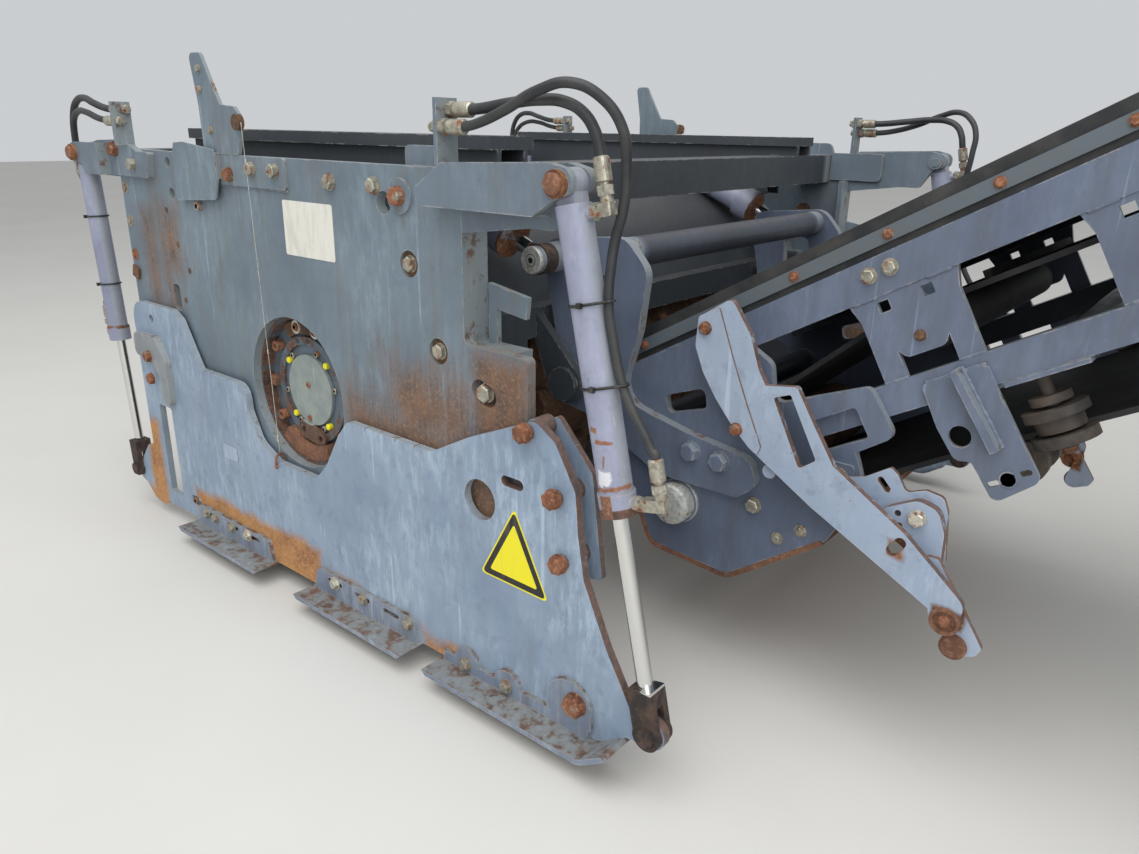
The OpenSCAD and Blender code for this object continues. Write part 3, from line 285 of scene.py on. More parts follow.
# Painted steel plate: flame-cut, brushed and sprayed with alkyd enamel. The eye sees a satin coat
# with pale rub marks, a dusty film, specks of rust, bare rusty edges and larger rusted areas.
def painted_steel(name, base, pale, dust, shades=BROWN_RUST, rub=0.5, wear=0.6, film=0.25, specks=0.8,
                  gloss=0.5, ledge=0.25, outer=0.0, dust_and_painted_shade=0.0, spots=(), streaky=0.0, stained=1.0, chips=(),
                  cut_edges=0.4, rusty_edges_from=BEYOND, bare_from=None, ring=None, gland=BEYOND):
    """Areas as their box, wander and softness in mm; outer and bare_from as metres from the middle."""
    material, tree, at = start_material(name)
    aside = size_along(tree, at, 1)
    facing = add(tree, "TexCoord", output="Normal")
    blotch = grain(tree, at, 26, detail=7, roughness=0.7)
    inner = min(outer, INSIDE)
    coat = rubbed_enamel(tree, at, base, pale, rub)
    runs = patches(tree, at, 26, 0.45, 0.72, stretch=(1, 1, 0.08), detail=6)
    coat = coats(tree, coat, (overlap(tree, runs, film), colour(dust)))
    # Painted shade with some dust: faces nearer the middle than inner are darkened towards near black,
    # standing in for the shade inside the unit
    if dust_and_painted_shade:
        inside = overlap(tree, within(tree, aside, (inner, inner - 0.03)), dust_and_painted_shade)
        coat = coats(tree, coat, (inside, colour("#2b2d30")))
    # Edges rubbed pale, and dirt on level faces
    bare = within(tree, blotch, (0.62 - 0.2 * wear, 0.70 - 0.2 * wear))
    bare = overlap(tree, edge_mask(tree, 0.0045), bare)
    rubbed = coats(tree, colour(pale), (0.5, colour("#dcdcd6")))
    level = overlap(tree, within(tree, blotch, (0.25, 0.55)), ledge,
                    within(tree, size_along(tree, facing, 2), (0.6, 0.8)))
    coat = coats(tree, coat, (bare, rubbed), (level, colour("#4d423b")))
    coat = flame_cut(tree, at, coat, blotch, facing, inner, cut_edges, rusty_edges_from)
    # Specks of rust in loose groups, then the larger rusted places
    flecks = overlap(tree, patches(tree, at, 210, 0.67, 0.71, detail=2),
                     patches(tree, at, 7, 0.48, 0.62, detail=3), specks)
    rust = either(tree, flecks, overlap(tree, bare, 0.35))
    if spots:
        lumps = grain(tree, at, 9, detail=7, roughness=0.55)
        lumps = add(tree, "Math", {0: lumps, 1: 1 - streaky}, operation="MULTIPLY")
        streaks = grain(tree, at, 150, (1, 1, 0.06), 6, 0.75)
        ragged = add(tree, "Math", {0: streaks, 1: streaky, 2: lumps}, operation="MULTIPLY_ADD")
        outside = within(tree, aside, (outer - 0.02, outer))
        rust = either(tree, rust, overlap(tree, areas(tree, at, spots, ragged), outside, stained))
    if chips:
        # Coat chipped down to its white primer
        chipped = areas(tree, at, chips, grain(tree, at, 40, detail=3))
        coat = coats(tree, coat, (chipped, colour("#d3d4d8")))
    if ring:
        # A rusty ring round a barrel, and all of it rusty beyond the gland
        direction, distance, half_width = ring
        along = add(tree, "VectorMath", {0: at, 1: direction}, "Value", operation="DOT_PRODUCT")
        off = add(tree, "Math", {0: along, 1: distance}, operation="SUBTRACT")
        off = add(tree, "Math", {0: off}, operation="ABSOLUTE")
        off = add(tree, "Math", {0: blotch, 1: -0.03, 2: off}, operation="MULTIPLY_ADD")
        rust = either(tree, rust, within(tree, off, (half_width - 0.012, half_width - 0.016)))
        coat = coats(tree, coat, (within(tree, along, (gland, gland + 0.002)),
                                  rust_colour(tree, at, EDGE_RUST)))
    if bare_from:
        rust = either(tree, rust, within(tree, aside, (bare_from, bare_from + SHARP)))
    surface = coats(tree, coat, (rust, rust_colour(tree, at, shades)))
    satin = patches(tree, at, 30, 0.2, 0.8, detail=5)
    dull = add(tree, "MapRange", {0: satin, 3: gloss - 0.08, 4: gloss + 0.12})
    rough = add(tree, "Math", {0: rust, 1: 0.35, 2: dull}, operation="MULTIPLY_ADD")
    # Grain of the spray coat, 3 mm lumps, and the scale of the rust, drawn coarse enough to show
    peel = overlap(tree, grain(tree, at, 330, detail=2), 0.15)
    scale = overlap(tree, grain(tree, at, 160, detail=5), rust)
    height = add(tree, "Math", {0: scale, 1: 1.6, 2: peel}, operation="MULTIPLY_ADD")
    return end_material(material, surface, (height, 0.35, 0.0012), Metallic=0.0, Roughness=rough)


# Hot-rolled steel left bare: brown oxide all over, darker where oil has reached it
def rusty_steel(name, oil, shades):
    """Bare steel; oil is the film that lies all over it, from 0 to 1."""
    material, tree, at = start_material(name)
    oily = overlap(tree, patches(tree, at, 8, 0.45, 0.7, detail=5), 0.55)
    surface = coats(tree, rust_colour(tree, at, shades), (either(tree, oily, oil), colour("#2f2723")))
    relief = (grain(tree, at, 150, detail=6), 0.5, 0.0015)
    return end_material(material, surface, relief, Metallic=0.0, Roughness=0.9)


# Bearing carrier: turned steel, slate enamel on the flange, rust on the machined rings, and a
# grey-green primed cover disc with fine scratches
def carrier_steel(name):
    material, tree, at = start_material(name)
    aside = size_along(tree, at, 1)
    centred = add(tree, "VectorMath", {0: at, 1: (0, 0, DRUM_Z * MM)}, operation="SUBTRACT")
    flat = add(tree, "VectorMath", {0: centred, 1: (1, 0, 1)}, operation="MULTIPLY")
    radius = add(tree, "VectorMath", {0: flat}, "Value", operation="LENGTH")
    scratch = patches(tree, at, 90, 0.62, 0.68, stretch=(1, 1, 0.05), detail=2, lean=-14)
    cover = coats(tree, colour("#929a95"), (patches(tree, at, 20, 0.4, 0.66, detail=7), colour("#7f8a89")),
                  (overlap(tree, scratch, 0.6), colour("#b9c0b6")))
    paint = coats(tree, colour("#5b6a75"), (patches(tree, at, 16, 0.4, 0.7, detail=6), colour("#495258")))
    rust = rust_colour(tree, at, HUB_RUST)
    old = grain(tree, at, 24, (1, 0.4, 1), 7, 0.7)
    # Radii from the drum's axis: the bore's wall, the machined rings, the cover and the linkage
    wall = overlap(tree, within(tree, radius, (0.195, 0.199)), within(tree, old, (0.36, 0.5)))
    rings = within(tree, radius, (0.126, 0.128), (0.153, 0.151))
    rings = overlap(tree, rings, within(tree, old, (0.47, 0.56)))
    disc = overlap(tree, within(tree, radius, (0.101, 0.1005)), within(tree, aside, (0.957, 0.9575)))
    link = overlap(tree, within(tree, radius, (0.100, 0.101)), within(tree, aside, (0.9643, 0.9646)),
                   within(tree, radius, (0.17, 0.169)))
    surface = coats(tree, paint, (either(tree, wall, rings), rust), (disc, cover), (link, rust))
    relief = (grain(tree, at, 170, detail=5), 0.3, 0.001)
    return end_material(material, surface, relief, Metallic=0.0, Roughness=0.6)


# Hard chrome on a piston rod: ground bright, with a thin dusty oil film. The rod's end is forged
# steel with a coat of oily brown rust: a fork below fork_z, or an eye in front of eye_x.
def chrome_rod(name, fork_z=-BEYOND, eye_x=BEYOND):
    material, tree, at = start_material(name)
    x, z = (add(tree, "SeparateXYZ", {0: at}, axis) for axis in (0, 2))
    forged = either(tree, within(tree, z, (fork_z + 0.001, fork_z)), within(tree, x, (eye_x, eye_x + 0.001)))
    brown = coats(tree, colour("#2c2725"), (patches(tree, at, 45, 0.42, 0.70, detail=6), colour("#5a4439")))
    surface = coats(tree, colour("#dcdcda"), (forged, brown))
    metal = add(tree, "Math", {0: 1.0, 1: forged}, operation="SUBTRACT", use_clamp=True)
    film = patches(tree, at, 60, 0.35, 0.75, stretch=(1, 1, 0.2), detail=5)
    bright = add(tree, "MapRange", {0: film, 3: 0.10, 4: 0.30})
    rough = add(tree, "Math", {0: forged, 1: 0.6, 2: bright}, operation="MULTIPLY_ADD")
    relief = (overlap(tree, grain(tree, at, 190, detail=5), forged), 0.4, 0.001)
    return end_material(material, surface, relief, Metallic=metal, Roughness=rough)


# Zinc-plated fastener: pale yellowish grey metal, dulled by white bloom, rust in places
def zinc(name, rusted, metal=("#8f8c80", "#c3bfae"), shine=0.7):
    material, tree, at = start_material(name)
    dull, bloom = (colour(shade) for shade in metal)
    plating = coats(tree, dull, (patches(tree, at, 90, 0.35, 0.65, detail=6), bloom))
    spots = patches(tree, at, 45, 0.62 - 0.35 * rusted, 0.70 - 0.30 * rusted, detail=7)
    surface = coats(tree, plating, (spots, rust_colour(tree, at, BOLT_RUST)))
    metallic = add(tree, "MapRange", {0: spots, 3: shine, 4: 0.0})
    rough = add(tree, "MapRange", {0: spots, 3: 0.42, 4: 0.9})
    return end_material(material, surface, Metallic=metallic, Roughness=rough)


# Black rubber: matt, greyed by road dust, with a fine pimple, drawn coarse enough to show
def rubber(name, base="#232426", dust="#5d5b56", dusty=0.35, dull=0.72, strip_from=BEYOND):
    """Rubber, with a painted strip over the faces farther out than strip_from."""
    material, tree, at = start_material(name)
    film = overlap(tree, patches(tree, at, 10, 0.4, 0.75, detail=7), dusty)
    strip = within(tree, size_along(tree, at, 1), (strip_from, strip_from + SHARP))
    surface = coats(tree, colour(base), (strip, colour("#5b646b")), (film, colour(dust)))
    return end_material(material, surface, (grain(tree, at, 400, detail=3), 0.25, 0.0008), Roughness=dull)


# Printed vinyl film or brush-on marking paint: even colour, dirt in runs and scuffed spots
def film_sheet(name, base, dirty):
    material, tree, at = start_material(name)
    runs = patches(tree, at, 60, 0.5, 0.75, stretch=(1, 1, 0.15), detail=6)
    spots = patches(tree, at, 140, 0.66, 0.70, detail=3)
    dirt = overlap(tree, either(tree, runs, spots), dirty)
    return end_material(material, coats(tree, colour(base), (dirt, colour("#8b8474"))), Roughness=0.45)


# Rusted and chipped places as X limits, Z limits, wander and softness of the rim, in mm
WALL_RUST = [(-765, -705, -533, -246, 80, 45), (-660, -630, -560, -300, 90, 40),
             (225, 690, -830, -622, 300, 60), (420, 690, -700, -520, 460, 70),
             (690, 858, -700, -440, 160, 30), (-640, -560, -400, -230, 200, 50),
             (680, 800, -830, -700, 20, 6)]
PLATE_RUST = [(-600, 95, -1300, -1112, 60, 16), (60, 300, -1300, -1166, 70, 18),
              (530, 680, -1300, -1200, 110, 22), (-900, -800, -1260, -930, 40, 16),
              (-970, -860, -1300, -1190, 100, 20)]
GUARD_RUST = [(1598, 1660, -936, -878, 30, 5), (1490, 1528, -805, -762, 60, 6)]
GLAND_RUST = [(1072, 1108, -540, -530, 30, 1), (1060, 1076, -520, -508, 16, 1),
              (1092, 1096, -586, -560, 8, 1)]
GLAND_CHIPS = [(1080, 1112, -622, -588, 26, 2)]
# Pins of the arms and barrels are rusty where they stand out past this, in metres
PINS_FROM = 1.0655


def enamels():
    """Painted finishes of the plates, the conveyor and the cylinders."""
    made = {}
    # The housing and the conveyor darken their inner faces: painted shade with some dust
    made["housing"] = painted_steel(
        "slate_enamel", "#616f7a", "#8b9ca7", "#6b655c", TAN_RUST, film=0.45, outer=0.98, dust_and_painted_shade=0.85,
        spots=WALL_RUST, streaky=0.75, stained=0.88)
    made["plate"] = painted_steel(
        "blue_grey_enamel", "#7b8da3", "#b1c3d3", "#77726a", ORANGE_RUST, rub=0.65, film=0.2, specks=0.2,
        outer=0.9, spots=PLATE_RUST, cut_edges=0.3, rusty_edges_from=0.7)
    made["skid"] = painted_steel(
        "skid_enamel", "#6f7c90", "#a3acb9", "#5d5850", rub=0.7, wear=0.9, film=0.5, ledge=0.95,
        cut_edges=0.55)
    made["clamp"] = painted_steel(
        "worn_grey_enamel", "#7b8186", "#a5a9ab", "#7b766e", rub=0.7, wear=0.9, film=0.4)
    made["arm"] = painted_steel(
        "arm_enamel", "#5f6c78", "#8795a1", "#625d56", rub=0.4, wear=0.7, bare_from=PINS_FROM)
    made["guard"] = painted_steel(
        "guard_enamel", "#96a5ba", "#bccadb", "#7b766e", rub=0.45, wear=0.9, film=0.15, spots=GUARD_RUST,
        cut_edges=0.95)
    made["conveyor"] = painted_steel(
        "slate_blue_enamel", "#566073", "#7c889c", "#4f4c49", rub=0.3, film=0.35, gloss=0.42,
        outer=0.505, dust_and_painted_shade=0.75)
    lilac = dict(base="#878ba1", pale="#b3b8cb", dust="#7d786f", rub=0.35, wear=0.7, film=0.15, gloss=0.38,
                 cut_edges=-0.4)
    # Rings as the barrel's direction, the distance along it and half the ring's width, in metres
    made["front_barrel"] = painted_steel(
        "lilac_enamel_front", shades=PIN_RUST, outer=1.01, spots=GLAND_RUST, chips=GLAND_CHIPS,
        bare_from=PINS_FROM, ring=((0.2196, 0, -0.9756), 0.853, 0.003), gland=0.893, **lilac)
    made["rear_barrel"] = painted_steel(
        "lilac_enamel_rear", ring=((0.0606, 0, -0.9982), 0.579, 0.004), **lilac)
    made["loader_barrel"] = painted_steel(
        "lilac_enamel_loader", ring=((0.9140, 0, -0.4057), 0.530, 0.006), **lilac)
    return made


def make_materials():
    """Every finish by its short name."""
    return {
        **enamels(),
        "dark_rust": rusty_steel("oily_rust", 0.25, TAN_RUST),
        "rust": rusty_steel("bare_rust", 0.1, PIN_RUST),
        "pin": rusty_steel("rusty_pin_head", 0.0, PIN_RUST),
        "carrier": carrier_steel("carrier_enamel"),
        "lift_rod": chrome_rod("hard_chrome", fork_z=-1.040),
        "loader_rod": chrome_rod("hard_chrome_loader", eye_x=0.5285),
        "bright": zinc("ground_cap", 0.15, ("#a3a5a0", "#d2d3cc"), 0.35),
        "zinc": zinc("zinc_plate", 0.25),
        "rusty_zinc": zinc("rusted_zinc", 0.9),
        "limed_zinc": zinc("zinc_with_white_splashes", 0.1, ("#b4b0a2", "#dedacd")),
        "rubber": rubber("belt_rubber"),
        "cover_rubber": rubber("cover_rubber", dusty=0.5, strip_from=0.5105),
        "muddy_rubber": rubber("muddy_roller_rubber", "#2d2a28", "#6b5c4e", 0.9),
        "hose": rubber("hose_rubber", "#26282b", "#6a6862", 0.3, 0.55),
        "yellow": film_sheet("yellow_film", "#efe21a", 0.15),
        # Black is the sign's band and the cable ties, and also the painted shade of holes, a groove and a
        # socket
        "black": film_sheet("black_film_and_painted_shade", "#1b1b1a", 0.3),
        "white": film_sheet("white_film", "#dedcd2", 0.35)}


# Finish of a CAD piece by its slot, and of the pieces that differ from it
SLOT_FINISHES = {"housing_paint": "housing", "side_plate_paint": "plate", "conveyor_paint": "conveyor",
                 "cylinder_paint": "front_barrel", "chrome_rod": "lift_rod", "worn_steel": "dark_rust",
                 "rusty_steel": "rust", "belt_rubber": "rubber"}
OWN_FINISHES = {"front_arms": "arm", "rear_brackets": "arm", "guard_arms": "guard",
                "loader_rods": "loader_rod", "loader_barrels": "loader_barrel",
                "bearing_carriers": "carrier", "lift_levers": "conveyor", "return_idlers": "muddy_rubber",
                "belt_covers": "cover_rubber", "skids_right": "skid", "skids_left": "skid",
                "rear_barrel_right": "rear_barrel", "rear_barrel_left": "rear_barrel",
                "clamp_plate_right": "clamp", "clamp_plate_left": "clamp"}


def dress_nodes(made):
    """Gives every carried-over piece its finish."""
    slots = {s["node"]: s["material_slot"] for s in frame["record"]["subparts"]}
    for name, piece in nodes.items():
        piece.data.materials.clear()
        piece.data.materials.append(made[OWN_FINISHES.get(name, SLOT_FINISHES[slots[name]])])


# Shapes, in mm until they are placed
def finished(shape):
    """A mesh of a closed shape with its faces turned outwards."""
    bmesh.ops.recalc_face_normals(shape, faces=shape.faces[:])
    mesh = bpy.data.meshes.new("fitting")
    shape.to_mesh(mesh)
    shape.free()
    return mesh


def turned(*rings):
    """A solid through rings of (radius, height, sides) round Z."""
    shape = bmesh.new()
    loops = []
    for number, (radius, height, sides) in enumerate(rings):
        ring = set(bmesh.ops.create_circle(shape, cap_ends=number in (0, len(rings) - 1), radius=radius * MM,
                                           segments=sides,
                                           matrix=Matrix.Translation((0, 0, height * MM)))["verts"])
        loops.append([edge for edge in shape.edges if ring.issuperset(edge.verts)])
    for lower, upper in zip(loops, loops[1:]):
        bmesh.ops.bridge_loops(shape, edges=lower + upper)
    return finished(shape)


def hex_bolt(size, washer=0.92):
    """Hexagon head of a bolt of this thread size on a washer given in thread sizes."""
    thick, corner, head = 0.15 * size, 0.87 * size, 0.63 * size
    return turned((washer * size, 0, 28), (washer * size, thick, 28), (corner, thick + 0.2, 6),
                  (corner, thick + 0.85 * head, 6), (0.84 * corner, thick + head, 6))


def socket_screw(size, head=1.0):
    """Cylindrical head with a hexagon socket."""
    radius, height = 0.75 * size, head * size
    return turned((radius, 0, 24), (radius, height - 1, 24), (radius - 1, height, 24),
                  (0.45 * size, height, 6), (0.43 * size, height - 0.5 * size, 6))


def washer(outer, inner, thick):
    return turned((outer, 0, 32), (outer, thick, 32), (inner, thick, 32), (inner, 0.3 * thick, 32))


def plate(outline, y0, y1, sign, corner=0.0):
    """A plate with an outline of (X, Z) points between two distances from the middle plane."""
    shape = bmesh.new()
    shape.faces.new([shape.verts.new((x * MM, sign * y0 * MM, z * MM)) for x, z in outline])
    if corner:
        bmesh.ops.bevel(shape, geom=shape.verts[:], offset=corner * MM, offset_type="OFFSET",
                        affect="VERTICES", segments=4, profile=0.5, material=-1)
    grown = bmesh.ops.extrude_face_region(shape, geom=shape.faces[:])["geom"]
    bmesh.ops.translate(shape, vec=(0, sign * (y1 - y0) * MM, 0),
                        verts=[v for v in grown if isinstance(v, bmesh.types.BMVert)])
    return finished(shape)


def hub_bar(angles, radii, y0, y1, sign):
    """A bar bent round the drum's axis between two angles in degrees, from +X towards +Z."""
    shape = bmesh.new()
    start, end = (math.radians(a) for a in angles)
    section = [(radii[0], y0), (radii[1], y0), (radii[1], y1), (radii[0], y1)]
    face = shape.faces.new([shape.verts.new((r * MM * math.cos(start), sign * y * MM,
                                             (DRUM_Z + r * math.sin(start)) * MM)) for r, y in section])
    bmesh.ops.spin(shape, geom=[face, *face.edges, *face.verts], cent=(0, 0, DRUM_Z * MM), axis=(0, -1, 0),
                   angle=end - start, steps=12, use_merge=False, use_duplicate=False)
    return finished(shape)


def tube(points, radius, closed=False, swell=None, sides=4):
    """A round tube along a smooth line; swell gives each point's share of the radius."""
    data = bpy.data.curves.new("line", "CURVE")
    data.dimensions = "3D"
    data.bevel_depth = radius * MM
    data.bevel_resolution = sides
    data.use_fill_caps = True
    data.resolution_u = 8
    spline = data.splines.new("BEZIER")
    spline.bezier_points.add(len(points) - 1)
    for number, (knot, point) in enumerate(zip(spline.bezier_points, points)):
        knot.co = Vector(point) * MM
        knot.handle_left_type = knot.handle_right_type = "AUTO"
        knot.radius = swell[number] if swell else 1.0
    spline.use_cyclic_u = closed
    line = bpy.data.objects.new("line", data)
    bpy.context.scene.collection.objects.link(line)
    mesh = bpy.data.meshes.new_from_object(line.evaluated_get(bpy.context.evaluated_depsgraph_get()))
    bpy.data.objects.remove(line)
    bpy.data.curves.remove(data)
    shape = bmesh.new()
    shape.from_mesh(mesh)
    bpy.data.meshes.remove(mesh)
    bmesh.ops.remove_doubles(shape, verts=shape.verts[:], dist=0.01 * MM)
    return finished(shape)


# Fittings gathered in one shape for each body and finish
gathered = {}


def gather(mesh, body, finish, matrix=Matrix.Identity(4)):
    shape = gathered.setdefault((body, finish), bmesh.new())
    before = len(shape.verts)
    shape.from_mesh(mesh)
    shape.verts.ensure_lookup_table()
    bmesh.ops.transform(shape, matrix=matrix, verts=shape.verts[before:])


def put(mesh, body, finish, at, way, turn=0.0):
    """Stands a turned piece on a point, pointing along way."""
    stand = Vector(way).to_track_quat("Z", "Y").to_matrix().to_4x4()
    gather(mesh, body, finish, Matrix.Translation(Vector(at) * MM) @ stand @ Matrix.Rotation(turn, 4, "Z"))


def link_piece(name, mesh, material):
    mesh.materials.clear()
    mesh.materials.append(material)
    piece = bpy.data.objects.new(name, mesh)
    bpy.context.scene.collection.objects.link(piece)
    return piece


def place_gathered(made):
    for (body, finish), shape in gathered.items():
        mesh = bpy.data.meshes.new("fittings")
        shape.to_mesh(mesh)
        shape.free()
        piece = link_piece(f"{finish}_fittings_{body}", mesh, made[finish])
        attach(piece, body)


def conveyor(u, v):
    """X and Z of a point on the conveyor, u along its slope and v square to it."""
    return (CONVEYOR_START[0] + u * math.cos(SLOPE) - v * math.sin(SLOPE),
            CONVEYOR_START[1] + u * math.sin(SLOPE) + v * math.cos(SLOPE))


# Round holes in the walls with a bolt deep inside: radius, depth and place
DEEP_SEATS = [(29.4, 9, (496, -272)), (29.4, 9, (584, -457)), (23.4, 12, (725, -526))]
# Bolts of the belt's guide rollers: distance from the middle plane, and v on the conveyor
ROLLER_PLANE = 489
ROLLER_V = -474


def place_bolts(rng):
    """Hexagon bolts: body, finish, face that they stand on, thread size, washer, points (X, Z)."""
    cover_bolts = [conveyor(-300 + 219 * i, 31) for i in range(17)]
    idler_nuts = [conveyor(u, -181) for u in STATIONS]
    rows = [
        ("housing", "zinc", WALL_FACE, 20, 1.0, [(226, -109), (389, -109)]),
        # Thin heads, since the lifted side plate passes 10 mm in front of the wall
        ("housing", "zinc", WALL_FACE, 10, 1.9, [(-848, -178), (-848, -280)]),
        ("housing", "rusty_zinc", WALL_FACE, 10, 1.9, [(-848, -385)]),
        ("housing", "zinc", WALL_FACE - 9, 20, 0.95, [(496, -272), (584, -457)]),
        ("housing", "zinc", WALL_FACE - 12, 24, 0.92, [(725, -526)]),
        ("housing", "rusty_zinc", WALL_FACE + 6, 24, 0.9, [(478, -126)]),
        ("housing", "rusty_zinc", STRIP_FACE, 20, 0.95, [(-208, -111)]),
        ("housing", "zinc", STRIP_FACE, 20, 0.95, [(-97, -93), (7, -93)]),
        ("housing", "zinc", SENSOR_FACE, 10, 1.1, [(-273, -1), (-300, 150), (-306, 100)]),
        ("housing", "rusty_zinc", BRACKET_FACE, 24, 0.92, [(-838, -63)]),
        ("housing", "zinc", BRACKET_FACE, 20, 0.92, [(-732, -103)]),
        ("{}_side", "rusty_zinc", SKID_FACE, 24, 0.92, [(882, -567), (962, -690), (980, -831)]),
        ("{}_side", "rusty_zinc", CLAMP_FACE, 20, 0.95, [(-748, -695), (-748, -769)]),
        ("{}_side", "zinc", SKID_FACE, 16, 1.1, [(-513, -1180), (-461, -1180), (-361, -1180), (297, -1180),
                                                (480, -1180), (690, -1205), (825, -1205)]),
        ("{}_side", "limed_zinc", SKID_FACE, 16, 1.25, [(-272, -1180), (173, -1180)]),
        ("{}_side", "rusty_zinc", SKID_FACE, 30, 0.92, [(1032, -1151)]),
        ("loader", "zinc", RAIL_FACE, 16, 1.1, [(1350, -255), (1390, -232)]),
        ("loader", "rusty_zinc", COVER_FACE, 10, 1.15, cover_bolts),
        ("loader", "dark_rust", STRUT_FACE, 12, 1.0, idler_nuts),
        ("loader", "conveyor", LEVER_FACE, 27, 0.95, [(990, -715), (1070, -720)]),
        ("loader", "zinc", FOOT_FACE, 20, 1.0, [(1154, -817)]),
        ("loader", "zinc", FOOT_FACE + 6, 24, 0.92, [(1350, -689)]),
        ("loader", "zinc", FOOT_FACE, 12, 1.3, [(1221, -883), (1276, -846)]),
        ("loader", "rusty_zinc", GUARD_FACE + 6, 16, 0.95, [(1036, -396), (1132, -612)]),
        ("loader", "limed_zinc", STRAP_FACE, 20, 0.92, [(1534, -721)]),
    ]
    for body, finish, face, size, wide, points in rows:
        bolt = hex_bolt(size, wide)
        for side, sign in SIDES:
            for x, z in points:
                put(bolt, body.format(side), finish, (x, sign * face, z), (0, sign, 0), rng.uniform(0, 1))
    # Seats of the bolts that sit deep in the walls' round holes
    for radius, depth, (x, z) in DEEP_SEATS:
        seat = turned((radius, -24, 40), (radius, -depth, 40))
        for _, sign in SIDES:
            put(seat, "housing", "dark_rust", (x, sign * WALL_FACE, z), (0, sign, 0))
    # Guide rollers hang from a bolt under their plate
    for station in (0, 3, 5):
        x, z = conveyor(STATIONS[station] + 170, ROLLER_V)
        for _, sign in SIDES:
            put(hex_bolt(16, 1.0), "loader", "rust", (x, sign * ROLLER_PLANE, z), SQUARE_DOWN)


# Cap of the pin in the loader cylinders' eyes: its place, and the layers on it as radius, height, sides and
# finish: the bright middle, and a flat black ring and hexagon as painted shade of its groove and socket
EYE_PIN = (565, -290)
CAP_HEIGHT = 10
CAP_LAYERS = [(16, 0.3, 40, "black"), (14, 0.8, 40, "bright"), (8, 1.2, 6, "black")]


def place_screws_and_plugs(rng):
    """Socket screws, plugs and rings: body, finish, face, template, points."""
    plug = turned((9, -1, 24), (9, 0.6, 24))
    stud = turned((26, 0, 4), (26, 9, 4))
    pulley = turned((20, 0, 32), (20, 3, 32), (15, 6, 32), (15, 9, 32), (20, 12, 32), (20, 15, 32))
    bracket_ring = turned((17, 0, 32), (17, 2.5, 32), (14, 2.5, 32), (14, 1, 32))
    bearing_cap = turned((58, 0, 48), (58, 6, 48), (52, 8, 48), (52, 40, 48), (49, 47, 48), (38, 51, 48),
                         (14, 53, 48))
    arm_bush = turned((30, 0, 40), (30, 5, 40), (23, 5, 40), (21, -8, 40))
    bush_pin = turned((14, -24, 28), (14, 3, 28), (11, 5, 28))
    lug_pin = turned((27, 0, 32), (27, 9, 32), (22, 12, 32))
    rows = [
        ("housing", "zinc", WALL_FACE, socket_screw(16), [(-392, -205)]),
        ("housing", "dark_rust", WALL_FACE, plug, [(-558, -328), (-507, -400), (-553, -495), (-600, -230)]),
        ("housing", "dark_rust", WALL_FACE, stud, [(-848, -441)]),
        ("housing", "dark_rust", SENSOR_FACE, pulley, [(-124, 20)]),
        ("{}_side", "rusty_zinc", PLATE_FACE, socket_screw(14, 0.5), [(-600, -1165)]),
        ("housing", "housing", WALL_FACE, washer(39, 10, 6), [(478, -126)]),
        ("loader", "conveyor", DROP_FACE, bracket_ring, [conveyor(u + 59, -501) for u in STATIONS]),
        ("loader", "bright", FOOT_FACE, bearing_cap, [(947, -865)]),
        ("loader", "rust", GUARD_FACE, arm_bush, [(1628, -906)]),
        ("loader", "rusty_zinc", GUARD_FACE, bush_pin, [(1628, -906)]),
        ("loader", "rust", LUG_FACE, lug_pin, [(1647, -968)]),
    ]
    for body, finish, face, mesh, points in rows:
        for side, sign in SIDES:
            for x, z in points:
                put(mesh, body.format(side), finish, (x, sign * face, z), (0, sign, 0), rng.uniform(0, 1))
    cap = turned((34, 0, 40), (34, CAP_HEIGHT - 2, 40), (32, CAP_HEIGHT, 40))
    pin_head = turned((20, 0, 36), (20, 6, 36), (17, 9, 36))
    eye_x, eye_z = EYE_PIN
    for _, sign in SIDES:
        out = (0, sign, 0)
        put(cap, "loader", "bright", (eye_x, sign * CAP_FACE, eye_z), out)
        # Painted shade: flat black layers stand in for the shade in the cap's groove and hexagon socket
        for radius, height, sides, finish in CAP_LAYERS:
            layer = turned((radius, 0, sides), (radius, height, sides))
            put(layer, "loader", finish, (eye_x, sign * (CAP_FACE + CAP_HEIGHT), eye_z), out)
        for cylinder in CYLINDERS.values():
            x, z = cylinder["pin"]
            put(pin_head, "housing", "pin", (x, sign * HEAD_FACE, z), out)


def around_hub(radius, angle, sign, y):
    """A point round the drum's axis, at an angle in degrees from +X towards +Z."""
    turn = math.radians(angle)
    return (radius * math.cos(turn), sign * y, DRUM_Z + radius * math.sin(turn))


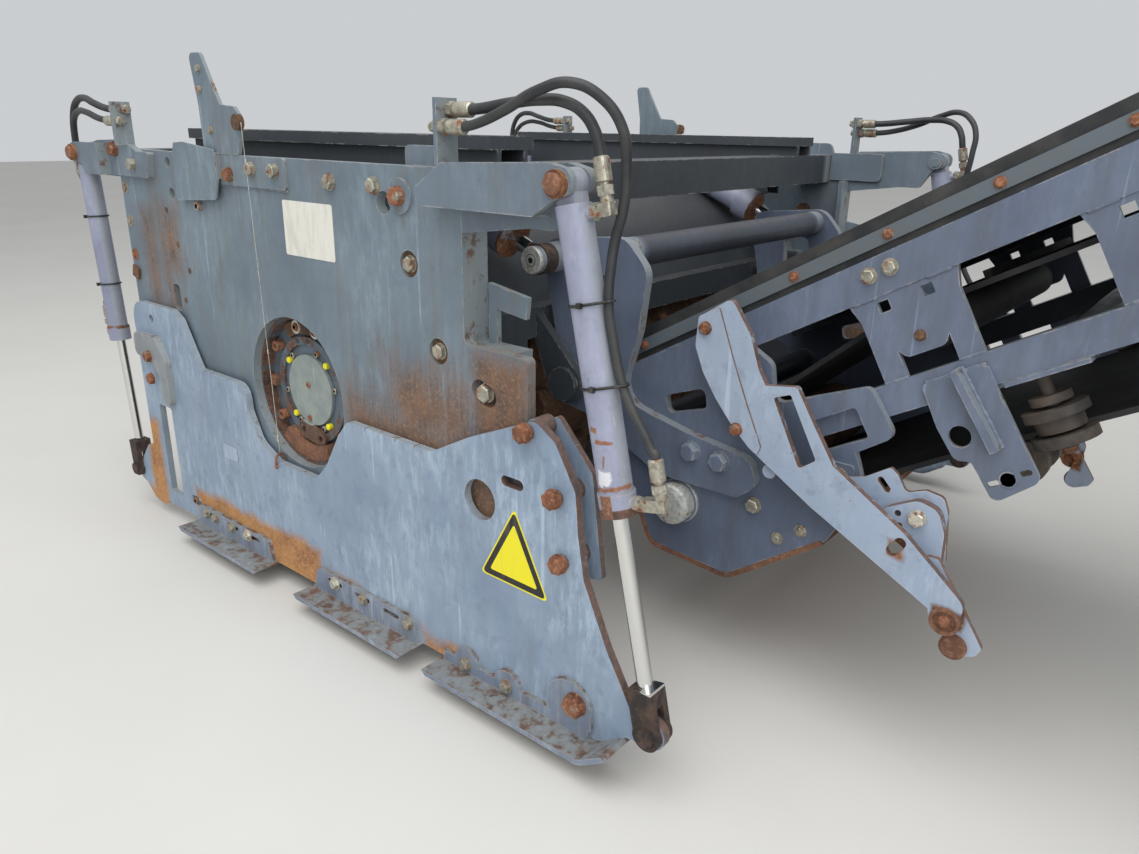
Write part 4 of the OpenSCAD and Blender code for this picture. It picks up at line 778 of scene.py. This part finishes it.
def place_hub():
    """Screws, marks and linkage on the bearing carriers."""
    flange_screw, ring_screw, link_screw = socket_screw(20, 1.3), socket_screw(11), socket_screw(14, 0.7)
    mark = turned((9, 0, 20), (9, 11, 20), (7, 13, 20))
    lug = turned((20, 0, 4), (20, 22, 4))
    hole = turned((7, -1, 20), (7, 0.8, 20))
    eye, seat = washer(19, 12, 5), washer(9, 5, 3)
    for _, sign in SIDES:
        out = (0, sign, 0)
        for angle in (144, 215, -3, -38, 40):
            put(flange_screw, "housing", "rusty_zinc", around_hub(175, angle, sign, CARRIER_FACE), out)
        put(lug, "housing", "rust", around_hub(172, 181, sign, CARRIER_FACE), out, math.pi / 4)
        for angle in (131, 70, 239, 295, 10, 190):
            put(ring_screw, "housing", "zinc", around_hub(114, angle, sign, CARRIER_FACE + 6), out)
        for angle in (46, 143, 226, 308):
            put(mark, "housing", "yellow", around_hub(116, angle, sign, CARRIER_FACE + 6), out)
        # Painted shade: two flat black discs stand in for empty holes in the ring
        for angle in (88, 108):
            put(hole, "housing", "black", around_hub(139, angle, sign, HUB_RING_FACE), out)
        for radius, angle in ((16, 110), (84, 262)):
            put(seat, "housing", "rusty_zinc", around_hub(radius, angle, sign, HUB_COVER_FACE), out)
        # Linkage above and below the cover, with bright rings round its bolts
        gather(hub_bar((58, 122), (158, 196), CARRIER_FACE, CARRIER_FACE + 14, sign), "housing", "dark_rust")
        gather(hub_bar((-128, -62), (158, 199), CARRIER_FACE, CARRIER_FACE + 34, sign), "housing", "rust")
        for angle in (75, 103):
            put(eye, "housing", "limed_zinc", around_hub(177, angle, sign, CARRIER_FACE + 14), out)
            put(link_screw, "housing", "rusty_zinc", around_hub(177, angle, sign, CARRIER_FACE + 14), out)


# Outlines as corners (X, Z): blank label on the wall, blank nameplate and sign on the side plate,
# doubling plate riveted on the guard arm and square washer plate under the foot's bolt
LABEL = [(17, -162), (224, -162), (224, -298), (17, -298)]
NAMEPLATE = [(-374, -905), (-298, -905), (-298, -949), (-374, -949)]
DOUBLER = [(1016, -372), (1012, -440), (1036, -497), (1074, -553), (1120, -606), (1166, -648), (1186, -660),
           (1194, -640), (1150, -548), (1108, -452), (1066, -346)]
WASHER_PLATE = [(1318, -657), (1382, -657), (1382, -721), (1318, -721)]
SIGN_MIDDLE = (839, -879)
SIGN_CORNERS = [(-103, -62), (101, -65), (3, 127)]
# The sign's black band stands between a thin yellow rim and the yellow middle: each layer's share
# of the sign's size, its height, corner radius and finish
SIGN_LAYERS = [(1.0, 0.5, 14, "yellow"), (0.94, 0.9, 13, "black"), (0.70, 1.3, 7, "yellow")]


def place_plates():
    """Thin plates and films."""
    middle_x, middle_z = SIGN_MIDDLE
    for side, sign in SIDES:
        body = side + "_side"
        gather(plate(LABEL, WALL_FACE, WALL_FACE + 0.8, sign, 6), "housing", "white")
        for share, height, corner, finish in SIGN_LAYERS:
            corners = [(middle_x + share * x, middle_z + share * z) for x, z in SIGN_CORNERS]
            gather(plate(corners, PLATE_FACE, PLATE_FACE + height, sign, corner), body, finish)
        gather(plate(NAMEPLATE, PLATE_FACE, PLATE_FACE + 1, sign, 3), body, "guard")
        gather(plate(DOUBLER, GUARD_FACE, GUARD_FACE + 6, sign, 5), "loader", "guard")
        gather(plate(WASHER_PLATE, FOOT_FACE, FOOT_FACE + 6, sign, 9), "loader", "conveyor")


# Weld beads: ends (u, v) from each station of the conveyor with their distance outwards, and ends
# (X, Z) on the walls
STATION_WELDS = [
    ((38, -270), (54, -440), DROP_FACE), ((55, -265), (71, -438), DROP_FACE),
    ((-22, -275), (98, -275), RAIL_FACE + 2), ((-103, -79), (-53, -79), STRUT_FACE),
    ((53, -79), (103, -79), STRUT_FACE), ((-103, -253), (-53, -253), STRUT_FACE),
    ((53, -253), (103, -253), STRUT_FACE)]
WALL_WELDS = [((606, -136), (912, -137)), ((-998, -142), (-650, -142)), ((-283, -141), (48, -141))]
WELD_RADIUS = 4
RIPPLE = 6


def bead(ends, y, rng):
    """A weld bead between two points (X, Z) on a plane: ripples of uneven width."""
    start, end = (Vector((x, y, z)) for x, z in ends)
    count = max(4, round((end - start).length / RIPPLE))
    points = [start.lerp(end, i / (count - 1)) for i in range(count)]
    return tube(points, WELD_RADIUS, swell=[rng.uniform(0.75, 1.2) for _ in points], sides=2)


def place_welds(rng):
    for _, sign in SIDES:
        for station in STATIONS:
            for start, end, face in STATION_WELDS:
                ends = [conveyor(station + u, v) for u, v in (start, end)]
                gather(bead(ends, sign * face, rng), "loader", "conveyor")
        for ends in WALL_WELDS:
            gather(bead(ends, sign * WALL_FACE, rng), "housing", "arm")


# Lift cylinders: upper pin, direction down the barrel and side of the ports; s runs down from the
# pin and q outwards to the ports. Each port is given by s, its reach q and its leg's q. The hoses
# start on a bulkhead plate on the housing, at seats (|Y|, Z), and bend between two X in metres.
CYLINDERS = {
    "front": {"pin": (975, -74), "down": (0.2196, -0.9756), "ports_to": 1, "radius": 36,
              "ports": {"upper": (58, 50, 77), "lower": (601, 50, 103)}, "ties": [(217, 48), (372, 52)],
              "bulkhead": (650, -66), "seats": [(1028, 50), (1048, 18)], "face": 660, "back": 650,
              "out": 1, "bend": (0.72, 1.00)},
    "rear": {"pin": (-1050, -78), "down": (0.0606, -0.9982), "ports_to": -1, "radius": 32,
             "ports": {"upper": (58, 46, 62), "lower": (586, 46, 60)}, "ties": [(200, 43), (420, 45)],
             "bulkhead": (-760, -50), "seats": [(1022, 50), (1044, 18)], "face": -760, "back": -750,
             "out": -1, "bend": (-0.83, -1.05)}}

# Hoses over the arms: knots (X, |Y|, Z) from the bulkhead to the cylinder, and radius
HOSES = {
    ("front", "upper"): ([(718, 1028, 50), (760, 1036, 52), (840, 1047, 60), (920, 1050, 66), (975, 1047, 62),
                          (1012, 1041, 44), (1032, 1034, 15)], 10.5),
    ("front", "lower"): ([(718, 1048, 18), (770, 1062, 24), (860, 1078, 48), (940, 1078, 80),
                          (1000, 1066, 92), (1050, 1044, 70), (1082, 1022, 20), (1084, 1010, -40)], 9.5),
    ("rear", "upper"): ([(-826, 1022, 50), (-880, 1026, 56), (-940, 1030, 70), (-1000, 1030, 84),
                         (-1058, 1030, 74), (-1096, 1030, 36)], 10.5),
    ("rear", "lower"): ([(-826, 1044, 18), (-880, 1048, 26), (-950, 1050, 42), (-1020, 1046, 44),
                         (-1078, 1040, 14), (-1105, 1034, -40)], 9.5)}
# Run of the lower hoses beside the barrel, as (s, q, |Y|)
RUNS = {"front": [(60, 92, 1006), (110, 68, 1010), (160, 56, 1020), (217, 48, 1030), (300, 46, 1030),
                  (372, 52, 1030), (420, 66, 1030), (470, 88, 1030), (500, 100, 1030)],
        "rear": [(60, 66, 1030), (110, 48, 1030), (170, 43, 1030), (300, 43, 1030), (420, 45, 1030),
                 (470, 50, 1030), (496, 55, 1030)]}

# Elbow and coupling at a port: distances up the barrel from the port's middle
LEG_START = 11
COUPLING_START = 24
COUPLING_LENGTH = 62
TIE_HOSE_RADIUS = 11.5
TIE_THICKNESS = 3.0


def on_cylinder(which, s, q, y):
    cylinder = CYLINDERS[which]
    top, down = cylinder["pin"], cylinder["down"]
    across = (-down[1] * cylinder["ports_to"], down[0] * cylinder["ports_to"])
    return (top[0] + s * down[0] + q * across[0], y, top[1] + s * down[1] + q * across[1])


def hose_coupling():
    """Swivel nut, neck and crimped ferrule."""
    return turned((16, 0, 6), (16, 17, 6), (10, 18, 20), (10, 22, 20), (15, 24, 20), (15, 63, 20),
                  (12, 66, 20))


def place_port(which, body, sign, s, reach, leg):
    """Forged elbow from a port boss that turns up the barrel, with its coupling; gives the hose's seat."""
    y = sign * CYLINDER_PLANE
    root, far = (Vector(on_cylinder(which, s, q, y)) for q in (reach - 6, reach + 12))
    up = Vector(on_cylinder(which, s - 1, leg, y)) - Vector(on_cylinder(which, s, leg, y))
    out = far - root
    block = leg - reach
    nut = turned((16, 0, 6), (16, 14, 6), (12, 15, 20), (12, 19, 20))
    elbow = turned((17, 0, 4), (17, block - 3, 4), (14, block, 4))
    put(nut, body, "zinc", root, out)
    put(elbow, body, "zinc", far, out, math.pi / 4)
    put(turned((12, 0, 20), (12, 13, 20)), body, "zinc", on_cylinder(which, s - LEG_START, leg, y), up)
    put(hose_coupling(), body, "zinc", on_cylinder(which, s - COUPLING_START, leg, y), up)
    return s - COUPLING_START - COUPLING_LENGTH


def place_bulkhead(cylinder, sign):
    """Plate on the housing with two couplings, capped behind."""
    x, foot = cylinder["bulkhead"]
    gather(plate([(x, foot), (x + 10, foot), (x + 10, 72), (x, 72)], 1006, 1062, sign), "housing", "arm")
    cap = turned((14, 0, 6), (14, 12, 6), (10, 13, 20), (10, 20, 20))
    out = cylinder["out"]
    for y, z in cylinder["seats"]:
        put(hose_coupling(), "housing", "zinc", (cylinder["face"], sign * y, z), (out, 0, 0))
        put(cap, "housing", "zinc", (cylinder["back"], sign * y, z), (-out, 0, 0))


def arc(radius, first, last, step):
    """Points of an arc round 0 at whole degrees."""
    turns = [math.radians(a) for a in range(first, last + 1, step)]
    return [(radius * math.cos(turn), radius * math.sin(turn)) for turn in turns]


def place_ties(which, body, sign):
    """Cable ties round the barrel and the hose beside it, each with its head."""
    radius = CYLINDERS[which]["radius"]
    for s, q in CYLINDERS[which]["ties"]:
        loop = arc(radius, 70, 290, 20) + [(q + x, y) for x, y in arc(TIE_HOSE_RADIUS, -80, 80, 40)]
        points = [on_cylinder(which, s, across, sign * (CYLINDER_PLANE + y)) for across, y in loop]
        gather(tube(points, TIE_THICKNESS, closed=True, sides=1), body, "black")
        head = on_cylinder(which, s, 10, sign * (CYLINDER_PLANE + radius + 2))
        put(turned((7, -3, 4), (7, 5, 4)), body, "black", head, (0, sign, 0), math.pi / 4)


def place_hoses(made):
    for side, sign in SIDES:
        for which, cylinder in CYLINDERS.items():
            body = f"{side}_{which}_cylinder"
            place_bulkhead(cylinder, sign)
            for port, (s, reach, leg) in cylinder["ports"].items():
                seat = place_port(which, body, sign, s, reach, leg)
                knots, radius = HOSES[which, port]
                line = [(x, sign * y, z) for x, y, z in knots]
                if port == "lower":
                    line += [on_cylinder(which, along, q, sign * y) for along, q, y in RUNS[which]]
                line += [on_cylinder(which, seat + up, leg, sign * CYLINDER_PLANE) for up in (-14, 0)]
                name = f"{which}_{port}_hose_{side}"
                piece = link_piece(name, tube(line, radius), made["hose"])
                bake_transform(piece)
            place_ties(which, body, sign)


# Draw wire of the height sensor: top and bottom (X, Z), and its pieces as the share of the way
# down where each starts, its share of the length and its radius: the wire, its crimps and its thimble
WIRE_ENDS = ((-104, 20), (-80, -866))
WIRE_PIECES = [(0.0, 1.0, 1.0), (0.10, 0.014, 2.4), (0.42, 0.014, 2.4), (0.66, 0.014, 2.4),
               (0.94, 0.02, 3.2)]
# Shackle's bow as (off its plane, Z)
SHACKLE_BOW = [(15, -908), (15, -886), (10, -872), (0, -866), (-10, -872), (-14, -886), (-14, -908)]


def place_wire(made):
    """Draw wires from their pulleys down to a shackle on each side plate."""
    for side, sign in SIDES:
        y = sign * BRACKET_FACE
        top, bottom = (Vector((x, y, z)) for x, z in WIRE_ENDS)
        shape = bmesh.new()
        for share, length, radius in WIRE_PIECES:
            points = [top.lerp(bottom, share + length * i / 12) for i in range(13)]
            mesh = tube(points, radius, sides=1)
            shape.from_mesh(mesh)
            bpy.data.meshes.remove(mesh)
        piece = link_piece("draw_wire_" + side, finished(shape), made["limed_zinc"])
        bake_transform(piece)
        bow = [(bottom.x, sign * (BRACKET_FACE + off), z) for off, z in SHACKLE_BOW]
        gather(tube(bow, 3.5), side + "_side", "rust")
        bolt = turned((5, -16, 12), (5, 19, 12))
        put(bolt, side + "_side", "rusty_zinc", (bottom.x, y, -902), (0, sign, 0))


# Floor, lamps and background, in metres: a large soft lamp overhead and a weaker one from the camera's
# side, as name, size, power and place
FLOOR_SIZE = 60
LAMPS = [("overhead", 7, 420, (1.0, -2.5, 5.5)), ("side", 5, 160, (5.5, -5.0, 2.5))]
LAMPS_AIM_AT = (0.4, -0.4, -0.7)


def make_stage():
    bpy.ops.mesh.primitive_plane_add(size=FLOOR_SIZE, location=(0, 0, GROUND))
    floor = bpy.context.object
    floor.name = "floor"
    material, tree, here = start_material("pale_floor")
    cloudy = coats(tree, colour("#c4c2bd"), (grain(tree, here, 0.8, detail=6), colour("#d2d0cb")))
    floor.data.materials.append(end_material(material, cloudy, Roughness=0.85))
    world = bpy.data.worlds.new("studio")
    bpy.context.scene.world = world
    world.use_nodes = True
    background = world.node_tree.nodes["Background"]
    background.inputs["Color"].default_value = colour("#e6e9ec")
    background.inputs["Strength"].default_value = 0.75
    for name, size, power, at in LAMPS:
        data = bpy.data.lights.new(name, "AREA")
        data.size, data.energy = size, power
        lamp = bpy.data.objects.new(name, data)
        lamp.location = at
        lamp.rotation_mode = "QUATERNION"
        aim = Vector(LAMPS_AIM_AT) - Vector(at)
        lamp.rotation_quaternion = aim.to_track_quat("-Z", "Y")
        bpy.context.scene.collection.objects.link(lamp)


make_camera()
finish = make_materials()
dress_nodes(finish)
seeded = random.Random(7)
place_bolts(seeded)
place_screws_and_plugs(seeded)
place_hub()
place_plates()
place_welds(seeded)
place_hoses(finish)
place_wire(finish)
place_gathered(finish)
make_stage()
bpy.context.scene.view_settings.view_transform = "Standard"
